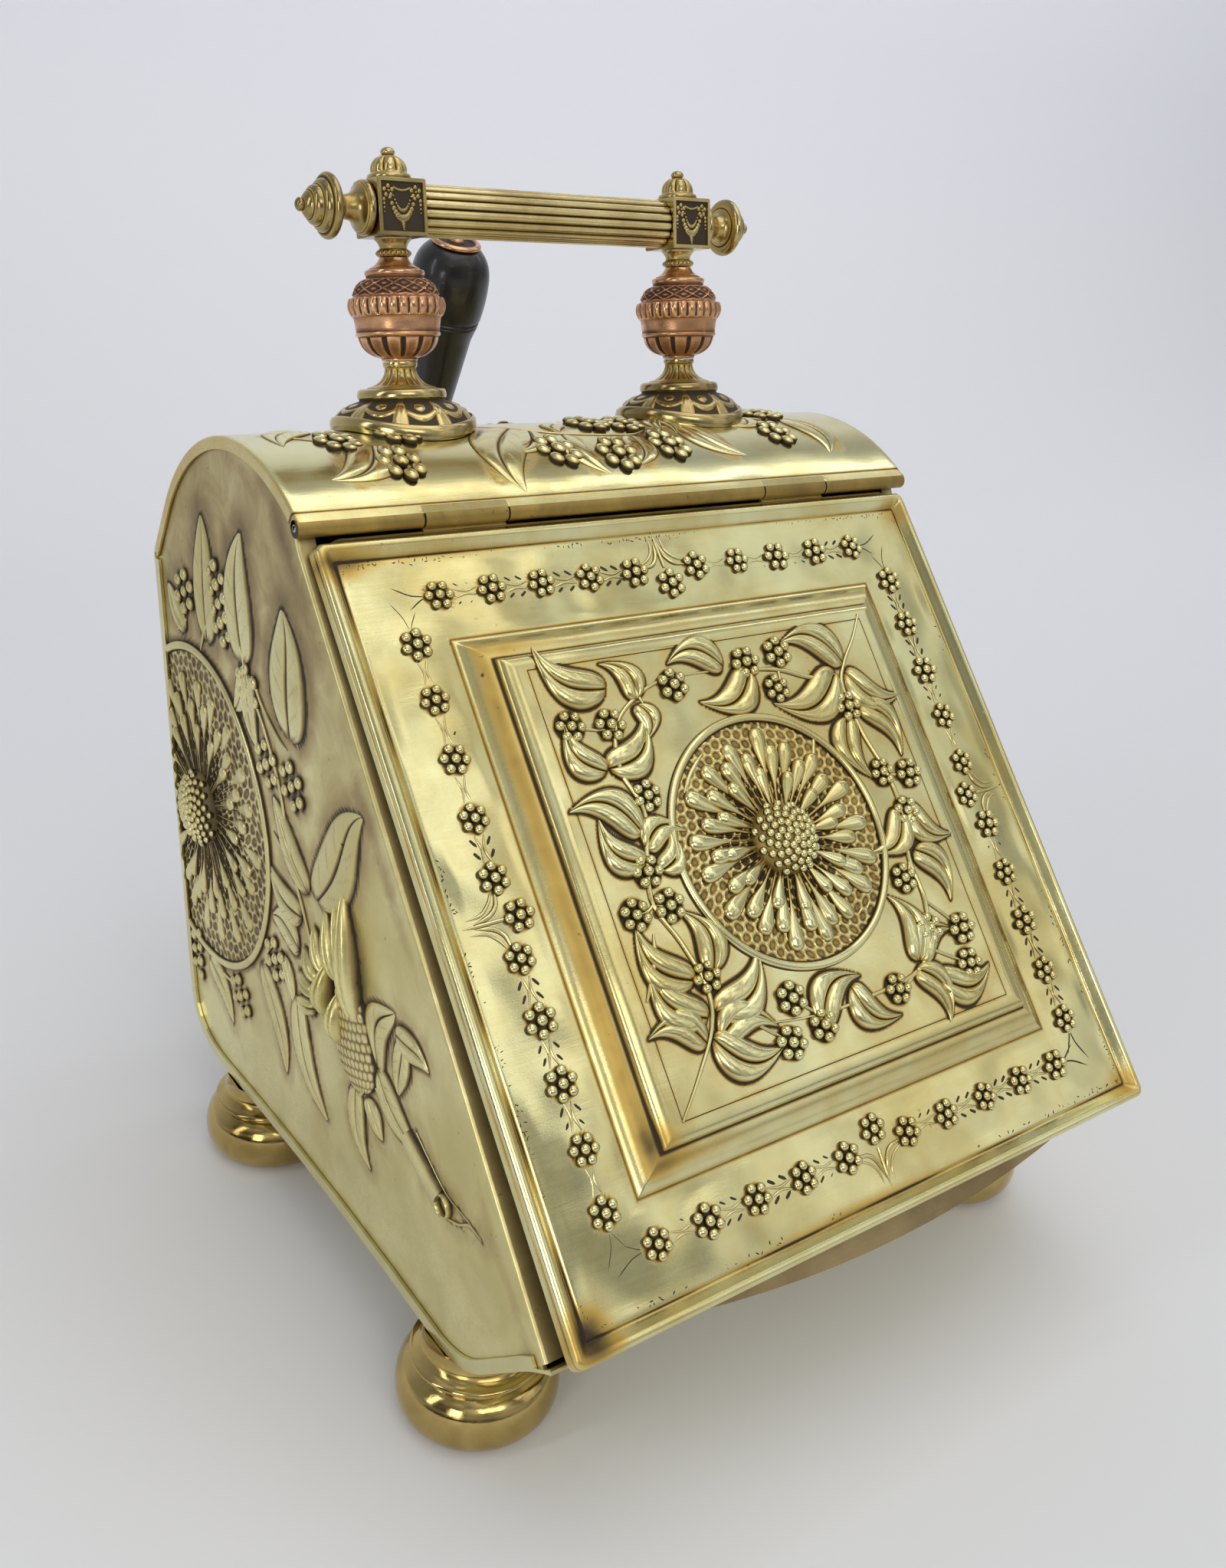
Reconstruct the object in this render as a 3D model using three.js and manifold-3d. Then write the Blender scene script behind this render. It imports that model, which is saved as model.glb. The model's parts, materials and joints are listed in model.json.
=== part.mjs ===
// A brass coal scuttle with a sloping lid: sheet-metal case on four bun feet, curved hood, knuckled hinge,
// reeded carrying handle on two urn-shaped pedestals, coal liner inside and a shovel hung behind the back.
// Millimetres, +Z up, +X to the right as seen from the front, the lid faces -Y. The floor is z = 0.
import * as THREE from "three";
import { mergeVertices } from "three/addons/utils/BufferGeometryUtils.js";
import Module from "manifold-3d";

const wasm = await Module();
wasm.setup();

const vec = (x, y) => new THREE.Vector2(x, y);

// ---- driving sizes ----
const sheet = 1.2; // brass sheet
const gap = 0.3; // clearance between pieces that touch
const flange = 5; // depth of the edges turned over the side panels
const flangeSheet = 1.2;
const caseHalf = 149.5; // outer face of a side panel
const wrapHalf = caseHalf + gap + flangeSheet; // outer face of the turned edges

const floorHeight = 38; // underside of the case above the ground
const floorRise = 3.3; // the floor arches up a little between the feet
const floorFront = -88;
const floorRear = 118;
const lipEnd = { y: -157.8, z: 84.4 }; // front end of the ogee toe
const backLow = vec(155.9, 62);
const backTop = vec(173.8, 272.8); // where the hood starts
const hood = { y: 80.4, z: 240.4, radius: 95, from: 35.2, to: 126.7 }; // arc of the hood, angles in degrees

const hinge = { barrel: 3.4, pin: 1.3, bore: 1.6, inner: 64.7, outer: 100.9, joint: 0.25 };
const hingeRadius = hood.radius - hinge.barrel; // the knuckles roll in just under the hood's front edge
const slope = THREE.MathUtils.degToRad(49.7); // of the closed lid
const lid = { half: 147, top: -6.4, bottom: -295.2, rim: 2.24 }; // in the lid's own frame, see lidFrame
const sideEdge = { top: { y: 25.9, z: 305.2 }, fold: 7.5 }; // front edge of a side panel, folded in under the lid

const footX = 132.3;
const footYs = { front: -85, rear: 104 };
const foot = { height: 37.7, bun: 31.2, stud: 3, studTop: 45.6 };
const footNut = { corner: 6.2, from: 41, height: 3.5 };

const pedestalX = 71.8;
const pedestalLean = THREE.MathUtils.degToRad(8.6); // square to the hood, so it leans back
const rod = { radius: 2.2, hole: 2.6 };
const heights = { base: 25.5, urn: 65, collar: 72.3, block: 21 }; // tops above the hood
const barRadius = 10;
const reeds = 16;
const tenon = { radius: 4.7, length: 5, play: 0.35 };

const backLean = Math.atan2(backTop.x - backLow.x, backTop.y - backLow.y);
const pan = { mouth: 52, heel: 42, length: 122, depth: 38, lip: 22, wall: 1.4, stand: 48.5, from: 129.5 };
const holder = { low: 128, high: 168, half: 54.5, depth: 51, ear: 15, ledge: 9 };
const shovelBall = { y: 184.5, z: 387.5 };
const shovelLean = THREE.MathUtils.degToRad(16.6);

const linerHalf = 142;
const bail = { y: 60, z: 240, half: 133.5, reach: 58, wire: 1.8, corner: 12 };

// Pressed sunflower medallions: a bead round a boss, on the lid's panel and on both sides.
const lidFlower = { x: 1, y: -149.8, radius: 50, bead: 3.6, rise: 1.7, boss: 14.5, height: 7.2 };
const sideFlower = { y: 131, z: 166, radius: 72, bead: 4, rise: 1.6, boss: 16, height: 8 };

// ---- metals and woods ----
const finish = (color, roughness, metalness) =>
  new THREE.MeshStandardMaterial({ color, roughness, metalness });
const brass = finish(0xc9b25e, 0.28, 1);
const darkBrass = finish(0x8a7433, 0.5, 1);
const copper = finish(0xb06a42, 0.35, 1);
const ebony = finish(0x14110f, 0.35, 0);
const japan = finish(0x1b1a19, 0.5, 0);
const steel = finish(0x77756f, 0.4, 1);

// ---- joining and cutting ----
function solidOf(geometry) {
  const bare = geometry.index ? geometry.toNonIndexed() : geometry.clone();
  bare.deleteAttribute("normal");
  bare.deleteAttribute("uv");
  const merged = mergeVertices(bare, 1e-4);
  return new wasm.Manifold(
    new wasm.Mesh({
      numProp: 3,
      vertProperties: merged.attributes.position.array,
      triVerts: new Uint32Array(merged.index.array),
    }),
  );
}

function geometryOf(solid) {
  const { vertProperties, triVerts } = solid.getMesh();
  const geometry = new THREE.BufferGeometry();
  geometry.setAttribute("position", new THREE.BufferAttribute(Float32Array.from(vertProperties), 3));
  geometry.setIndex(new THREE.BufferAttribute(Uint32Array.from(triVerts), 1));
  geometry.computeVertexNormals();
  return geometry;
}

const join = (...bodies) => geometryOf(bodies.map(solidOf).reduce((a, b) => a.add(b)));
const shared = (a, b) => geometryOf(solidOf(a).intersect(solidOf(b)));
const cut = (body, ...tools) => geometryOf(tools.map(solidOf).reduce((a, b) => a.subtract(b), solidOf(body)));

// ---- basic forms ----
// An outline drawn in the Y-Z plane, extruded across X.
function across(outline, from, to) {
  const shape = Array.isArray(outline) ? new THREE.Shape(outline) : outline;
  const geometry = new THREE.ExtrudeGeometry(shape, { depth: to - from, bevelEnabled: false });
  const swap = new THREE.Matrix4().makeBasis(
    new THREE.Vector3(0, 1, 0),
    new THREE.Vector3(0, 0, 1),
    new THREE.Vector3(1, 0, 0),
  );
  return geometry.applyMatrix4(swap).translate(from, 0, 0);
}

// A profile of radius and height, turned about Z.
const turned = (profile, segments = 16, divisions = 3) =>
  new THREE.LatheGeometry(profile.getPoints(divisions), segments).rotateX(Math.PI / 2);

const cylinder = (radius, from, to, segments = 12) =>
  turned(new THREE.Path().moveTo(0, from).lineTo(radius, from).lineTo(radius, to).lineTo(0, to), segments);

const ring = (inner, outer, from, to, segments = 12) =>
  turned(
    new THREE.Path().moveTo(inner, from).lineTo(outer, from).lineTo(outer, to).lineTo(inner, to).lineTo(inner, from),
    segments,
  );

const alongX = (geometry) => geometry.rotateY(Math.PI / 2);

const box = (x, y, z) =>
  new THREE.BoxGeometry(x[1] - x[0], y[1] - y[0], z[1] - z[0]).translate(
    (x[0] + x[1]) / 2,
    (y[0] + y[1]) / 2,
    (z[0] + z[1]) / 2,
  );

// An open line moved to its left by a distance, with mitred corners.
function inset(line, distance) {
  const normals = line.slice(1).map((p, i) => {
    const along = p.clone().sub(line[i]).normalize();
    return vec(-along.y, along.x);
  });
  return line.map((p, i) => {
    const before = normals[Math.max(0, i - 1)];
    const after = normals[Math.min(normals.length - 1, i)];
    const mean = before.clone().add(after).normalize();
    return p.clone().addScaledVector(mean, distance / mean.dot(after));
  });
}

const ribbon = (line, from, to) => [...inset(line, from), ...inset(line, to).reverse()];

// A beaded circle with a domed boss in its middle, pressed up out of a sheet along +Z from z = 0.
function medallion({ radius, bead, rise, boss, height }) {
  const inner = radius - bead / 2;
  const outer = radius + bead / 2;
  const sunk = -0.5;
  const circle = new THREE.Path().moveTo(inner, sunk).lineTo(outer, sunk).lineTo(outer, 0.1);
  circle.lineTo(radius + bead / 4, rise).lineTo(radius - bead / 4, rise).lineTo(inner, 0.1).lineTo(inner, sunk);
  const dome = new THREE.Path().moveTo(0, sunk).lineTo(boss, sunk).lineTo(boss, 0.6);
  dome.quadraticCurveTo(boss * 0.92, height * 0.93, 0, height);
  return [turned(circle, 28), turned(dome, 12, 3)];
}

// ---- the case, as lines in the Y-Z plane that keep its inside on their left ----
function floorLine() {
  const path = new THREE.Path().moveTo(lipEnd.y, lipEnd.z);
  path.quadraticCurveTo(-146, 77, -137, 68);
  path.lineTo(-116, 48.8);
  path.quadraticCurveTo(-105.5, floorHeight + 1, floorFront, floorHeight);
  path.quadraticCurveTo((floorFront + floorRear) / 2, floorHeight + 2 * floorRise, floorRear, floorHeight);
  path.quadraticCurveTo(backLow.x - (backLow.y - floorHeight) * Math.tan(backLean), floorHeight, backLow.x, backLow.y);
  return path.getPoints(5);
}

// The hood rises straight from the back's top edge and then bends over in one arc.
function hoodLine(to = hood.to) {
  const span = THREE.MathUtils.degToRad;
  const arc = new THREE.EllipseCurve(hood.y, hood.z, hood.radius, hood.radius, span(hood.from), span(to));
  return [backTop, ...arc.getPoints(16)];
}

const floorPoints = floorLine();
const hoodPoints = hoodLine();
const hingeAt = vec(hood.y, hood.z).addScaledVector(
  hoodPoints.at(-1).clone().sub(vec(hood.y, hood.z)).normalize(),
  hingeRadius,
);

// Sheet that follows a line round the case, with edges turned over the side panels.
function wrapped(line, turnedLine = line) {
  const sides = [-1, 1].map((side) => {
    const xs = [side * (caseHalf + gap), side * wrapHalf].sort((a, b) => a - b);
    return across(ribbon(turnedLine, 0, flange), ...xs);
  });
  return join(across(ribbon(line, 0, sheet), -wrapHalf, wrapHalf), ...sides);
}

function sidePanel(side) {
  const clear = sheet + gap;
  const span = (a, b) => [side * a, side * b].sort((p, q) => p - q);
  const round = inset([...floorPoints, ...hoodLine(120)], clear).slice(1);
  const toe = inset(floorPoints, clear + gap)[1];
  const edge = [vec(sideEdge.top.y, sideEdge.top.z), toe];
  const plate = across([...round, ...edge], ...span(caseHalf - sheet, caseHalf));
  const fold = across(ribbon(edge, 0, sheet), ...span(caseHalf - sideEdge.fold, caseHalf));
  const flower = medallion(sideFlower).map((body) =>
    body.rotateY((side * Math.PI) / 2).translate(side * caseHalf, sideFlower.y, sideFlower.z),
  );
  const within = across([...inset(round, flange), vec(sideEdge.top.y, sideEdge.top.z)], ...span(caseHalf - sheet, caseHalf + 20));
  return join(plate, fold, ...flower.map((body) => shared(body, within)));
}

// The back panel's ends run on inside the floor and the hood, where they are soldered.
function backPanel() {
  const low = backLow.clone().lerp(backTop, 0.005);
  const high = backTop.clone().lerp(low, 0.007);
  const panel = wrapped([low, high], [low, high.clone().lerp(low, 0.014)]);
  const lapHalf = caseHalf - sheet - 2 * gap;
  const lowLap = [...floorPoints.slice(-2), low.clone().lerp(high, 0.05)];
  const highLap = [low.clone().lerp(high, 0.95), backTop, backTop.clone().lerp(hoodPoints[1], 0.35)];
  const laps = [lowLap, highLap].map((line) => across(ribbon(line, sheet + gap, 2 * sheet + gap), -lapHalf, lapHalf));
  const bridges = [0.02, 0.94].map((at) => {
    const line = [low.clone().lerp(high, at), low.clone().lerp(high, at + 0.03)];
    return across(ribbon(line, sheet / 2, 2 * sheet), -lapHalf, lapHalf);
  });
  const holes = rivetPlaces().map(({ x, z }) =>
    cylinder(1.7, -9, 9, 12).rotateX(Math.PI / 2).translate(x, 0, z).applyMatrix4(backFrame()),
  );
  return cut(join(panel, ...laps, ...bridges), ...holes);
}

function floorSheet() {
  const holes = feetPlaces().map(({ x, y }) => cylinder(foot.stud + gap, 0, 60).translate(x, y, 0));
  return cut(wrapped(floorPoints, floorPoints.slice(2)), ...holes);
}

// A bowed lip under the lid's lower edge, in the lid's frame.
function frontLip() {
  const half = 97;
  const bow = 8.5;
  const edge = lid.bottom + 0.6;
  const outline = new THREE.Shape().moveTo(half, edge + 4).lineTo(-half, edge + 4).lineTo(-half, edge);
  outline.quadraticCurveTo(0, edge - 2 * bow, half, edge);
  return new THREE.ExtrudeGeometry(outline, { depth: 3.6, bevelEnabled: false, curveSegments: 12 }).translate(0, 0, -7.9);
}

// ---- hinge ----
const knuckle = (from, to) => alongX(ring(hinge.bore, hinge.barrel, from, to));
const knuckleRoom = (from, to) => alongX(cylinder(hinge.barrel + 0.6, from, to));

function hoodSheet() {
  const centre = vec(hood.y, hood.z);
  const at = (geometry) => geometry.translate(0, hingeAt.x, hingeAt.y);
  const { inner, outer, joint } = hinge;
  const rooms = [-1, 1].map((side) => {
    const [from, to] = [side * (inner - joint), side * (outer + joint)].sort((a, b) => a - b);
    return at(knuckleRoom(from, to));
  });
  const rodHoles = [-1, 1].map((side) =>
    cylinder(rod.hole, hood.radius - 9, hood.radius + 9)
      .rotateX(-pedestalLean)
      .translate(side * pedestalX, centre.x, centre.y),
  );
  const curved = cut(wrapped(hoodPoints), ...rooms, ...rodHoles, at(alongX(cylinder(hinge.bore, -160, 160))));
  const rolled = [[-wrapHalf, -outer - joint], [joint - inner, inner - joint], [outer + joint, wrapHalf]];
  return join(curved, ...rolled.map(([from, to]) => at(knuckle(from, to))));
}

const hingePin = () => alongX(cylinder(hinge.pin, -wrapHalf, wrapHalf));

// ---- lid, lying flat in its own frame: X across, Y up the slope, Z out of the lid, hinge axis through 0 ----
function lidRing({ by, z, corner = 0.6 }) {
  const x = lid.half - by;
  const [low, high] = [lid.bottom + by, lid.top - by];
  const turn = Math.PI / 2;
  const corners = [[x, low, 3], [x, high, 0], [-x, high, 1], [-x, low, 2]];
  return corners.flatMap(([cx, cy, quarter]) =>
    [0, 0.5, 1].map((t) => {
      const angle = (quarter + t) * turn;
      const [ox, oy] = [cx - Math.sign(cx) * corner, cy + (cy === low ? corner : -corner)];
      return new THREE.Vector3(ox + corner * Math.cos(angle), oy + corner * Math.sin(angle), z);
    }),
  );
}

// Skins a stack of rings that all have the same number of points, and closes both ends.
function skinned(rings) {
  const count = rings[0].length;
  const points = rings.flat();
  const index = [];
  for (let r = 0; r < rings.length - 1; r++)
    for (let j = 0; j < count; j++) {
      const k = (j + 1) % count;
      const [a, b, c, d] = [r * count + j, (r + 1) * count + j, (r + 1) * count + k, r * count + k];
      index.push(a, b, c, a, c, d);
    }
  const last = (rings.length - 1) * count;
  for (let j = 1; j < count - 1; j++) index.push(0, j, j + 1, last, last + j + 1, last + j);
  const geometry = new THREE.BufferGeometry().setFromPoints(points);
  return geometry.setIndex(index);
}

// Section of the lid from the middle of the raised panel out over the rim, and back underneath.
function lidPlate() {
  const top = [
    { by: 66, z: 5.8 }, // raised panel
    { by: 58.5, z: 5.8 },
    { by: 54.6, z: 4.9 }, // bead
    { by: 53.4, z: 3.6 },
    { by: 53.1, z: 2.5 }, // quirk
    { by: 51.6, z: 1.9 },
    { by: 48, z: 0.9 }, // hollow
    { by: 44.8, z: -0.9 },
    { by: 42.8, z: -2.9 },
    { by: 41.7, z: -3.2 },
    { by: 8, z: -3.2 }, // border field
    { by: 7.2, z: -3.5 }, // groove
    { by: 6.4, z: -3.1 },
    { by: 4.4, z: -0.9, corner: 2 },
    { by: 3.2, z: -0.1, corner: 2.4 },
    { by: 2.2, z: 0, corner: 2.6 }, // rim bead
    { by: 1.1, z: -0.5, corner: 3 },
    { by: 0.5, z: -1.6, corner: 3.2 },
    { by: 0.8, z: -2.5, corner: 3.2 },
    { by: 0, z: -3.2, corner: 3.4 }, // fillet
    { by: 0, z: -6, corner: 3.4 },
  ];
  const under = [
    { by: 1.5, z: -6, corner: 2.6 },
    { by: 1.8, z: -2.4, corner: 2.4 },
    { by: 3.4, z: -1.9, corner: 1.6 },
    { by: 6.6, z: -4.8 },
    { by: 41.9, z: -4.7 },
    { by: 45.6, z: -2.4 },
    { by: 52.2, z: 0.3 },
    { by: 56, z: 3.9 },
    { by: 66, z: 4.3 },
  ];
  return skinned([...top, ...under].map((r) => lidRing({ ...r, z: r.z + lid.rim })));
}

function lidPanel() {
  const { inner, outer, joint } = hinge;
  const spans = [[-outer + joint, -inner - joint], [inner + joint, outer - joint]];
  const leaves = spans.map(([from, to]) => box([from, to], [lid.top - 1.4, 0.4], [-hinge.barrel + 0.1, -hinge.bore - 0.2]));
  const bore = alongX(cylinder(hinge.bore, -outer, outer));
  const knuckles = spans.map(([from, to]) => knuckle(from, to));
  const panelTop = 5.8 + lid.rim;
  const flower = medallion(lidFlower).map((body) => body.translate(lidFlower.x, lidFlower.y, panelTop));
  return join(cut(join(lidPlate(), ...leaves), bore), ...knuckles, ...flower);
}

// ---- feet ----
const feetPlaces = () =>
  Object.entries(footYs).flatMap(([end, y]) =>
    [["left", -footX], ["right", footX]].map(([side, x]) => ({ name: `${end}_${side}`, x, y })),
  );

function bunFoot() {
  const profile = new THREE.Path().moveTo(0, 0).lineTo(20, 0);
  profile.quadraticCurveTo(foot.bun, 1.5, foot.bun, 12.5);
  profile.quadraticCurveTo(foot.bun, 21.5, 25.2, 25);
  profile.lineTo(24.2, 26.4).lineTo(26, 27.4).lineTo(25.4, 28.8);
  profile.quadraticCurveTo(19.5, 31, 20.4, foot.height);
  profile.lineTo(foot.stud, foot.height).lineTo(foot.stud, foot.studTop).lineTo(0, foot.studTop);
  return turned(profile, 16, 2);
}

const hexNut = (corner, bore, height) =>
  cut(cylinder(corner, 0, height, 6), cylinder(bore, -1, height + 1));

// ---- carrying handle ----
// A pedestal base is bent down over the hood: its rim follows the curve, its upper ring stays flat.
function pedestalBase() {
  const profile = new THREE.Path().moveTo(rod.hole, 0).lineTo(12, 0).lineTo(21, 0).lineTo(29.3, 0);
  profile.lineTo(29.3, 4.4).lineTo(28.2, 5.4).lineTo(27.2, 5.2).quadraticCurveTo(22, 10.5, 17.2, 11.2);
  profile.lineTo(17.4, 14.4).lineTo(16.4, 15.2).lineTo(13.8, 15.4);
  profile.quadraticCurveTo(6.6, 17.5, 6.3, 24).lineTo(6.7, heights.base).lineTo(rod.hole, heights.base);
  profile.lineTo(rod.hole, 0);
  const body = turned(profile, 16, 2);
  const at = body.attributes.position;
  for (let i = 0; i < at.count; i++) {
    const share = THREE.MathUtils.smoothstep(12 - at.getZ(i), 0, 7);
    at.setZ(i, at.getZ(i) + share * (Math.sqrt(hood.radius ** 2 - at.getY(i) ** 2) - hood.radius));
  }
  return body;
}

// Turned body whose surface is pressed into lobes between two heights.
function lobed(body, count, depth, from, to) {
  const at = body.attributes.position;
  for (let i = 0; i < at.count; i++) {
    const [x, y, z] = [at.getX(i), at.getY(i), at.getZ(i)];
    if (z < from || z > to) continue;
    const fade = Math.sin((Math.PI * (z - from)) / (to - from)) ** 0.5;
    const wave = 1 - (depth * fade * (1 + Math.cos(count * Math.atan2(y, x)))) / 2;
    at.setXY(i, x * wave, y * wave);
  }
  return body;
}

function urn() {
  const low = heights.base + gap;
  const profile = new THREE.Path().moveTo(rod.hole, low).lineTo(6.9, low);
  profile.quadraticCurveTo(15.4, 28.5, 16, 35.4).lineTo(16.9, 36).lineTo(17.6, 42.9).lineTo(19.3, 43.3);
  profile.quadraticCurveTo(20.2, 46.5, 19.3, 49.7).lineTo(17.3, 50.1);
  profile.quadraticCurveTo(15.4, 54.6, 11.4, 57.5).lineTo(11.4, 60.6).lineTo(9.8, 61.2);
  profile.quadraticCurveTo(7, 62.2, 5.8, heights.urn).lineTo(rod.hole, heights.urn).lineTo(rod.hole, low);
  return lobed(turned(profile, 24, 2), 12, 0.07, low, 35.6);
}

function collar() {
  const low = heights.urn + gap;
  const profile = new THREE.Path().moveTo(rod.hole, low).lineTo(5.8, low);
  profile.quadraticCurveTo(7.8, low + 1.4, 5.8, low + 2.8).lineTo(5.4, low + 3.2);
  profile.quadraticCurveTo(5.6, low + 5, 7.5, heights.collar);
  profile.lineTo(rod.hole, heights.collar).lineTo(rod.hole, low);
  return turned(profile, 14, 2);
}

const blockLow = heights.collar + gap;
const barHeight = blockLow + heights.block / 2;

// Square block with a framed panel sunk in its front and back, drilled for rod, bar and finials.
function handleBlock() {
  const half = heights.block / 2;
  const frame = 1.6;
  const recess = 0.8;
  const body = box([-half, half], [-half, half], [-half, half]);
  const field = [frame - half, half - frame];
  const panels = [[-half - 1, recess - half], [half - recess, half + 1]].map((y) => box(field, y, field));
  const socket = tenon.radius + tenon.play;
  const deep = half - tenon.length - tenon.play;
  return cut(
    body,
    ...panels,
    alongX(cylinder(socket, deep, half + 1)),
    alongX(cylinder(socket, -half - 1, -deep)),
    cylinder(rod.hole, -half - 1, -deep),
    cylinder(rod.hole, deep, half + 1),
  );
}

function handleBar() {
  const half = pedestalX - heights.block / 2 - gap;
  const outline = [];
  for (let i = 0; i < reeds; i++)
    for (const [share, radius] of [[0, 8.9], [0.22, 9.75], [0.5, barRadius], [0.78, 9.75]]) {
      const angle = ((i + share) * 2 * Math.PI) / reeds;
      outline.push(vec(radius * Math.cos(angle), radius * Math.sin(angle)));
    }
  const reach = half + gap + tenon.length;
  return join(across(outline, -half, half), alongX(cylinder(tenon.radius, -reach, reach)));
}

// Turned finial on the outer face of a block, its axis drawn along +Z from that face.
function endFinial() {
  const profile = new THREE.Path().moveTo(0, -tenon.length).lineTo(tenon.radius, -tenon.length);
  profile.lineTo(tenon.radius, gap).lineTo(9.6, gap).lineTo(10.2, 1.4).lineTo(9.3, 3.6);
  profile.quadraticCurveTo(4.4, 5.5, 4.6, 10.5).quadraticCurveTo(5.4, 13.2, 8.6, 14.2);
  profile.lineTo(12.4, 15.2).lineTo(13.1, 16.6).lineTo(12.4, 18).lineTo(10.4, 18.8);
  profile.quadraticCurveTo(9.6, 20.4, 8, 21).lineTo(7.6, 22.4).quadraticCurveTo(6.4, 24.4, 4.6, 25.2);
  profile.lineTo(2, 27).lineTo(2.2, 28.4).lineTo(1.1, 29.6).lineTo(0, 29.8);
  return turned(profile, 12, 2);
}

function topFinial() {
  const profile = new THREE.Path().moveTo(0, -4).lineTo(2.2, -4).lineTo(2.2, gap).lineTo(8.2, gap);
  profile.lineTo(8.4, 1.6).lineTo(7.1, 2.2).quadraticCurveTo(6.9, 6.8, 2.6, 9.2);
  profile.quadraticCurveTo(3, 11.8, 0, 12);
  return lobed(turned(profile, 16, 2), 8, 0.08, 2.4, 9.1);
}

// ---- coal liner ----
function linerTub() {
  const line = [[-131, 96], [-127, 79], [-98, 45.9], [139, 45.9], [156.5, 250]].map(([y, z]) => vec(y, z));
  const corner = vec(1, 250);
  const inner = inset(line, sheet);
  const above = [inner.at(-1).clone().add(vec(1, 30)), vec(-20, 290), vec(-160, 110)];
  const rim = across(ribbon([vec(156.5, 250), corner, vec(-131, 96)], -2.2, 1.2), -linerHalf - 1.6, linerHalf + 1.6);
  const tub = join(across([...line, corner], -linerHalf, linerHalf), rim);
  return cut(tub, across([...inner, ...above], sheet - linerHalf, linerHalf - sheet));
}

const linerEar = () => alongX(ring(bail.wire + 2 * gap, 7, bail.half + 2.4, linerHalf - sheet - gap, 16));

// Drop handle of the liner, at rest lying back: a bent wire whose ends turn out into the ears.
function linerBail() {
  const pin = linerHalf - sheet - 1;
  const { half, reach, corner } = bail;
  const path = new THREE.CurvePath();
  const at = (x, y) => new THREE.Vector3(x, y, 0);
  const bend = (a, b, c) => path.add(new THREE.QuadraticBezierCurve3(a, b, c));
  const run = (a, b) => path.add(new THREE.LineCurve3(a, b));
  run(at(-pin, 0), at(-half - 1.5, 0));
  bend(at(-half - 1.5, 0), at(-half + 2, 0), at(-half + 2, 4));
  run(at(-half + 2, 4), at(-half + 2, reach - corner));
  bend(at(-half + 2, reach - corner), at(-half + 2, reach), at(-half + 2 + corner, reach));
  run(at(-half + 2 + corner, reach), at(half - 2 - corner, reach));
  bend(at(half - 2 - corner, reach), at(half - 2, reach), at(half - 2, reach - corner));
  run(at(half - 2, reach - corner), at(half - 2, 4));
  bend(at(half - 2, 4), at(half - 2, 0), at(half + 1.5, 0));
  run(at(half + 1.5, 0), at(pin, 0));
  const section = new THREE.Shape().absarc(0, 0, bail.wire, 0, 2 * Math.PI);
  return new THREE.ExtrudeGeometry(section, { extrudePath: path, steps: 52, curveSegments: 3, bevelEnabled: false });
}

// ---- shovel, and its holder on the back ----
// In the back's own frame: X across, Y out of the back, Z up along it.
function shovelPan() {
  const { mouth, heel, length, depth, lip, wall } = pan;
  const plan = (inwards, floor) => {
    const r = 16 - inwards;
    const [m, h, top] = [mouth - inwards, heel - inwards, length - inwards];
    const start = inwards ? -5 : 0;
    const shape = new THREE.Shape().moveTo(-m, start).lineTo(m, start).lineTo(h, top - r);
    shape.quadraticCurveTo(h, top, h - r, top).lineTo(r - h, top).quadraticCurveTo(-h, top, -h, top - r);
    shape.closePath();
    const slab = new THREE.ExtrudeGeometry(shape, { depth: depth + 2, bevelEnabled: false, curveSegments: 6 });
    return slab.rotateX(Math.PI / 2).translate(0, floor, 0); // the plan stands up, its thickness towards the back
  };
  const slopeCut = across([vec(-90, -10), vec(-lip, -10), vec(-depth, length), vec(-90, length + 10)], -80, 80);
  return cut(plan(0, 0), plan(wall, -wall), slopeCut).translate(0, pan.stand, pan.from);
}

// Bent brass strap riveted to the back, with a ledge that the pan's mouth stands on.
function shovelHolder() {
  const { low, high, half, depth, ear, ledge } = holder;
  const outer = half + sheet;
  const shape = new THREE.Shape().moveTo(-outer - ear, gap).lineTo(-half, gap).lineTo(-half, depth).lineTo(half, depth);
  shape.lineTo(half, gap).lineTo(outer + ear, gap).lineTo(outer + ear, gap + sheet).lineTo(outer, gap + sheet);
  shape.lineTo(outer, depth + sheet).lineTo(-outer, depth + sheet).lineTo(-outer, gap + sheet);
  shape.lineTo(-outer - ear, gap + sheet).closePath();
  const strap = new THREE.ExtrudeGeometry(shape, { depth: high - low, bevelEnabled: false }).translate(0, 0, low);
  const shelf = box([-outer, outer], [depth - ledge, depth + sheet], [low, low + sheet]);
  const feet = [-1, 1].map((side) =>
    box([side * outer, side * (half - ledge)].sort((a, b) => a - b), [gap + 6, depth], [low, low + sheet]),
  );
  const holes = rivetPlaces().map(({ x, z }) => cylinder(1.7, -5, 5, 12).rotateX(Math.PI / 2).translate(x, 0, z));
  return cut(join(strap, shelf, ...feet), ...holes);
}

const rivetPlaces = () =>
  [["lower", 10], ["upper", 30]].flatMap(([row, rise]) =>
    [["left", -1], ["right", 1]].map(([side, sign]) => ({
      name: `${row}_${side}`,
      x: sign * (holder.half + sheet + holder.ear / 2),
      z: holder.low + rise,
    })),
  );

function rivet() {
  const tail = sheet + gap;
  const profile = new THREE.Path().moveTo(0, -tail - 1.2).lineTo(2.4, -tail - 1.2).lineTo(2.8, -tail);
  profile.lineTo(1.4, -tail).lineTo(1.4, gap + sheet + gap);
  profile.lineTo(3.4, gap + sheet + gap).quadraticCurveTo(3, 4, 0, 4.2);
  return turned(profile, 8, 2).rotateX(-Math.PI / 2);
}

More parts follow.
